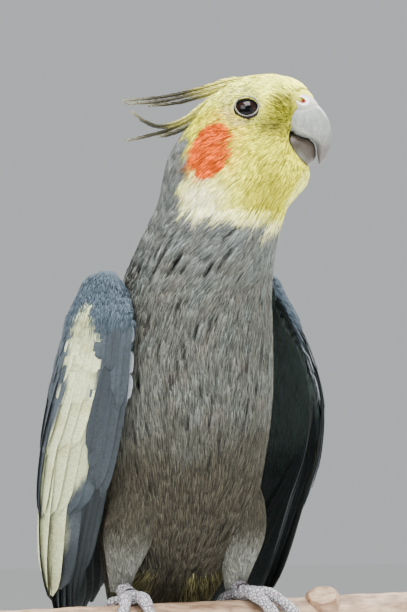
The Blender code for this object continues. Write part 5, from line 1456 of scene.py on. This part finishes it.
def ramp_of(look, grain, low, high):
    """A colour ramp over a grain: two stops, each a position and a hex colour."""
    ramp = add(look, "ValToRGB", [("Fac", grain, "Fac")])
    for stop, (position, code) in zip(ramp.color_ramp.elements, (low, high)):
        stop.position, stop.color = position, (*linear(code), 1.0)
    return ramp


BARK, bark_shader = finish_look("smooth_pinkish_bark", 0.68)
bark_grain = grain_of(BARK, stretch=(0.35, 1.0, 1.0), Scale=420.0, Detail=6.0, Roughness=0.6)
bark_ramp = ramp_of(BARK, bark_grain, (0.34, "#644A34"), (0.66, "#A88F74"))
bark_colour = add(BARK, "Attribute", attribute_name="plumage")
bark_mix = add(BARK, "Mix", [("A", bark_ramp, "Color"), ("B", bark_colour, "Color")], data_type="RGBA",
               blend_type="MULTIPLY")
bark_mix.inputs["Factor"].default_value = 1.0
join_sockets(BARK, bark_mix, "Result", bark_shader, "Base Color")
bump_by(BARK, bark_shader, bark_grain, "Fac", 0.5, 0.0005)
x, turn = grid(np.linspace(-BRANCH_HALF, BRANCH_HALF, 260), 96)
knots = np.stack([x * 0.5, PERCH_RADIUS * np.cos(turn), PERCH_RADIUS * np.sin(turn)], -1)
rounded = 1 - rise(BRANCH_HALF - abs(x), -0.01, 0.8)
points, faces = lofted(round_perch(x, turn, 0.16 * wave(knots, 7.0, 12) - 0.8 * rounded)[None])
tone = np.ones_like(points) * (0.93 + 0.10 * wave(points * (0.4, 1, 1), 9.0, 13))[:, None]
tone[abs(points[:, 0]) > BRANCH_HALF - 0.1] = (1.0, 0.97, 0.9)
keep(mesh_piece("perch_branch", points, faces, BARK, tone, sharp=50), "bark", "perch")
# The stub's bark ends in a dark line round its pale sawn face.
start, way = perch_line(45.0)[0], unit(np.array((-0.30, -0.52, 0.80)))
side_way = unit(np.cross(way, UP))
reach, radius = np.array(STUB).T
angle = (np.arange(STUB_SIDES) * 2 * math.pi / STUB_SIDES)[:, None]
wobble = 1 + 0.03 * np.sin(angle * 3 + 1) + 0.02 * np.sin(angle * 7)
circle = wobble * (side_way * np.cos(angle) + np.cross(side_way, way) * np.sin(angle))
points, faces = lofted((start + way * reach[:, None, None] + circle * radius[:, None, None])[None])
from_axis = np.concatenate([np.repeat(radius, STUB_SIDES), [radius[0], 0.0]])
on_face = np.concatenate([np.repeat(reach, STUB_SIDES), [reach[0], reach[-1]]]) > 10.6
tone = np.where(on_face[:, None], (1.02, 0.98, 0.92), (0.90, 0.82, 0.76))
tone = np.where((on_face & (from_axis > 4.1))[:, None], (0.62, 0.45, 0.34), tone)
keep(mesh_piece("perch_stub", points, faces, BARK, tone), "bark")

# The stand.
# A round base turned from dark wood with an eased edge, and two brushed steel rods that carry the branch.

# The base's outline from the edge of its flat top down to its foot: radius and height.
BASE_OUTLINE = (
    (56, 10),
    (58, 9.95),
    (59.4, 9.75),
    (60.6, 9.35),
    (61.4, 8.7),
    (61.85, 7.9),
    (62, 7.0),
    (62, 4.0),
    (62, 1.4),
    (61.8, 0.8),
    (61.4, 0.35),
    (60.6, 0.0),
)


def turned_form(middle, radius, level, around):
    """Points and faces of a turned form: circles about an upright axis, each with its radius and height."""
    angle = np.arange(around) * 2 * math.pi / around
    radius, level = np.array(radius)[:, None], np.array(level)[:, None] + 0 * angle
    rings = np.stack([middle[0] + radius * np.cos(angle), middle[1] + radius * np.sin(angle), level], -1)
    return lofted((rings - PERCH_TOP_PLACE)[None])


TURNED, turned_shader = finish_look("turned_walnut_oil_finish", 0.38, Specular_IOR_Level=0.5)
growth = grain_of(TURNED, stretch=(1.0, 0.12, 1.0), Scale=170.0, Detail=8.0, Roughness=0.65)
wood_ramp = ramp_of(TURNED, growth, (0.32, "#3B2417"), (0.7, "#7A5238"))
join_sockets(TURNED, wood_ramp, "Color", turned_shader, "Base Color")
bump_by(TURNED, turned_shader, growth, "Fac", 0.15, 0.0004)
base = turned_form((0.0, 0.0), *zip(*BASE_OUTLINE), 160)
keep(mesh_piece("stand_base_wood", *base, TURNED, sharp=40), "stand_wood", "stand_base")
STEEL, steel_shader = finish_look("brushed_steel_rod", 0.3, Metallic=1.0)
steel_shader.inputs["Base Color"].default_value = (*linear("#A8A9AB"), 1.0)
# Brush marks run round the rod, about 0.2 mm apart.
brushed = grain_of(STEEL, stretch=(1.0, 1.0, 12.0), Scale=500.0, Detail=2.0)
bump_by(STEEL, steel_shader, brushed, "Fac", 0.2, 0.0001)
for word, side in HANDS:
    low, high = (np.array(corner) * 1000 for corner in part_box(f"stand_rod_{word}"))
    level = (low[2], low[2] + 0.2, high[2] - 0.2, high[2])
    rod = turned_form((low + high) / 2, (2.4, 2.5, 2.5, 2.4), level, 48)
    keep(mesh_piece(f"stand_rod_{word}_steel", *rod, STEEL, sharp=40), "stand_metal", f"stand_rod_{word}")

# The photographer's floor, lights and camera.
# A pale seamless floor under four soft lights: high on the left, low on the right, overhead and behind.
# The camera stands level with the bird's breast, to its right, as in the photograph.
FLOOR, floor_shader = finish_look("pale_seamless_paper", 0.85)
floor_shader.inputs["Base Color"].default_value = (*linear("#F4F4F2"), 1.0)
bump_by(FLOOR, floor_shader, grain_of(FLOOR, Scale=300.0), "Fac", 0.05, 0.0002)
floor_mesh = bpy.data.meshes.new("floor")
floor_mesh.from_pydata([(-6, -6, 0), (6, -6, 0), (6, 6, 0), (-6, 6, 0)], [], [(0, 1, 2, 3)])
floor_mesh.materials.append(FLOOR)
put("floor", floor_mesh)
world = bpy.data.worlds.new("soft_sky")
bpy.context.scene.world = world
world.use_nodes = True
sky = world.node_tree.nodes["Background"]
sky.inputs["Color"].default_value = (0.93, 0.95, 0.97, 1.0)
sky.inputs["Strength"].default_value = 0.55
# The camera's right and its way, how far off it stands and how much it sees at the bird, in metres.
RIGHT_WAY = np.array((0.883, -0.469, 0.0))
FORWARD = np.array((0.469, 0.883, 0.0))
CAMERA_FAR, VIEW_TALL = 3.2, 0.1744
# Lights: place from the bird's breast in the camera's right, its way and up, then size and power.
LIGHTS = (
    ("key", (-0.55, -0.85, 0.85), 0.8, 34.0),
    ("fill", (0.95, -0.6, 0.25), 0.9, 8.0),
    ("top", (0.1, -0.25, 1.1), 0.7, 60.0),
    ("back", (0.6, 0.9, 0.8), 0.6, 28.0),
)
aim = in_stand(RIGHT_WAY * 5.0 + UP * 84.4)
for name, (right, on, up), size, power in LIGHTS:
    data = bpy.data.lights.new(name, "AREA")
    data.energy, data.size = power, size
    away = right * RIGHT_WAY + on * FORWARD + up * UP
    light = put(name, data)
    light.location = aim + away
    light.rotation_euler = Vector(-away).to_track_quat("-Z", "Y").to_euler()
camera_data = bpy.data.cameras.new("camera")
camera_data.lens = 36.0 * CAMERA_FAR / VIEW_TALL
camera = put("camera", camera_data)
camera.location = aim - FORWARD * CAMERA_FAR
camera.rotation_euler = Vector(FORWARD).to_track_quat("-Z", "Y").to_euler()
bpy.context.scene.camera = camera
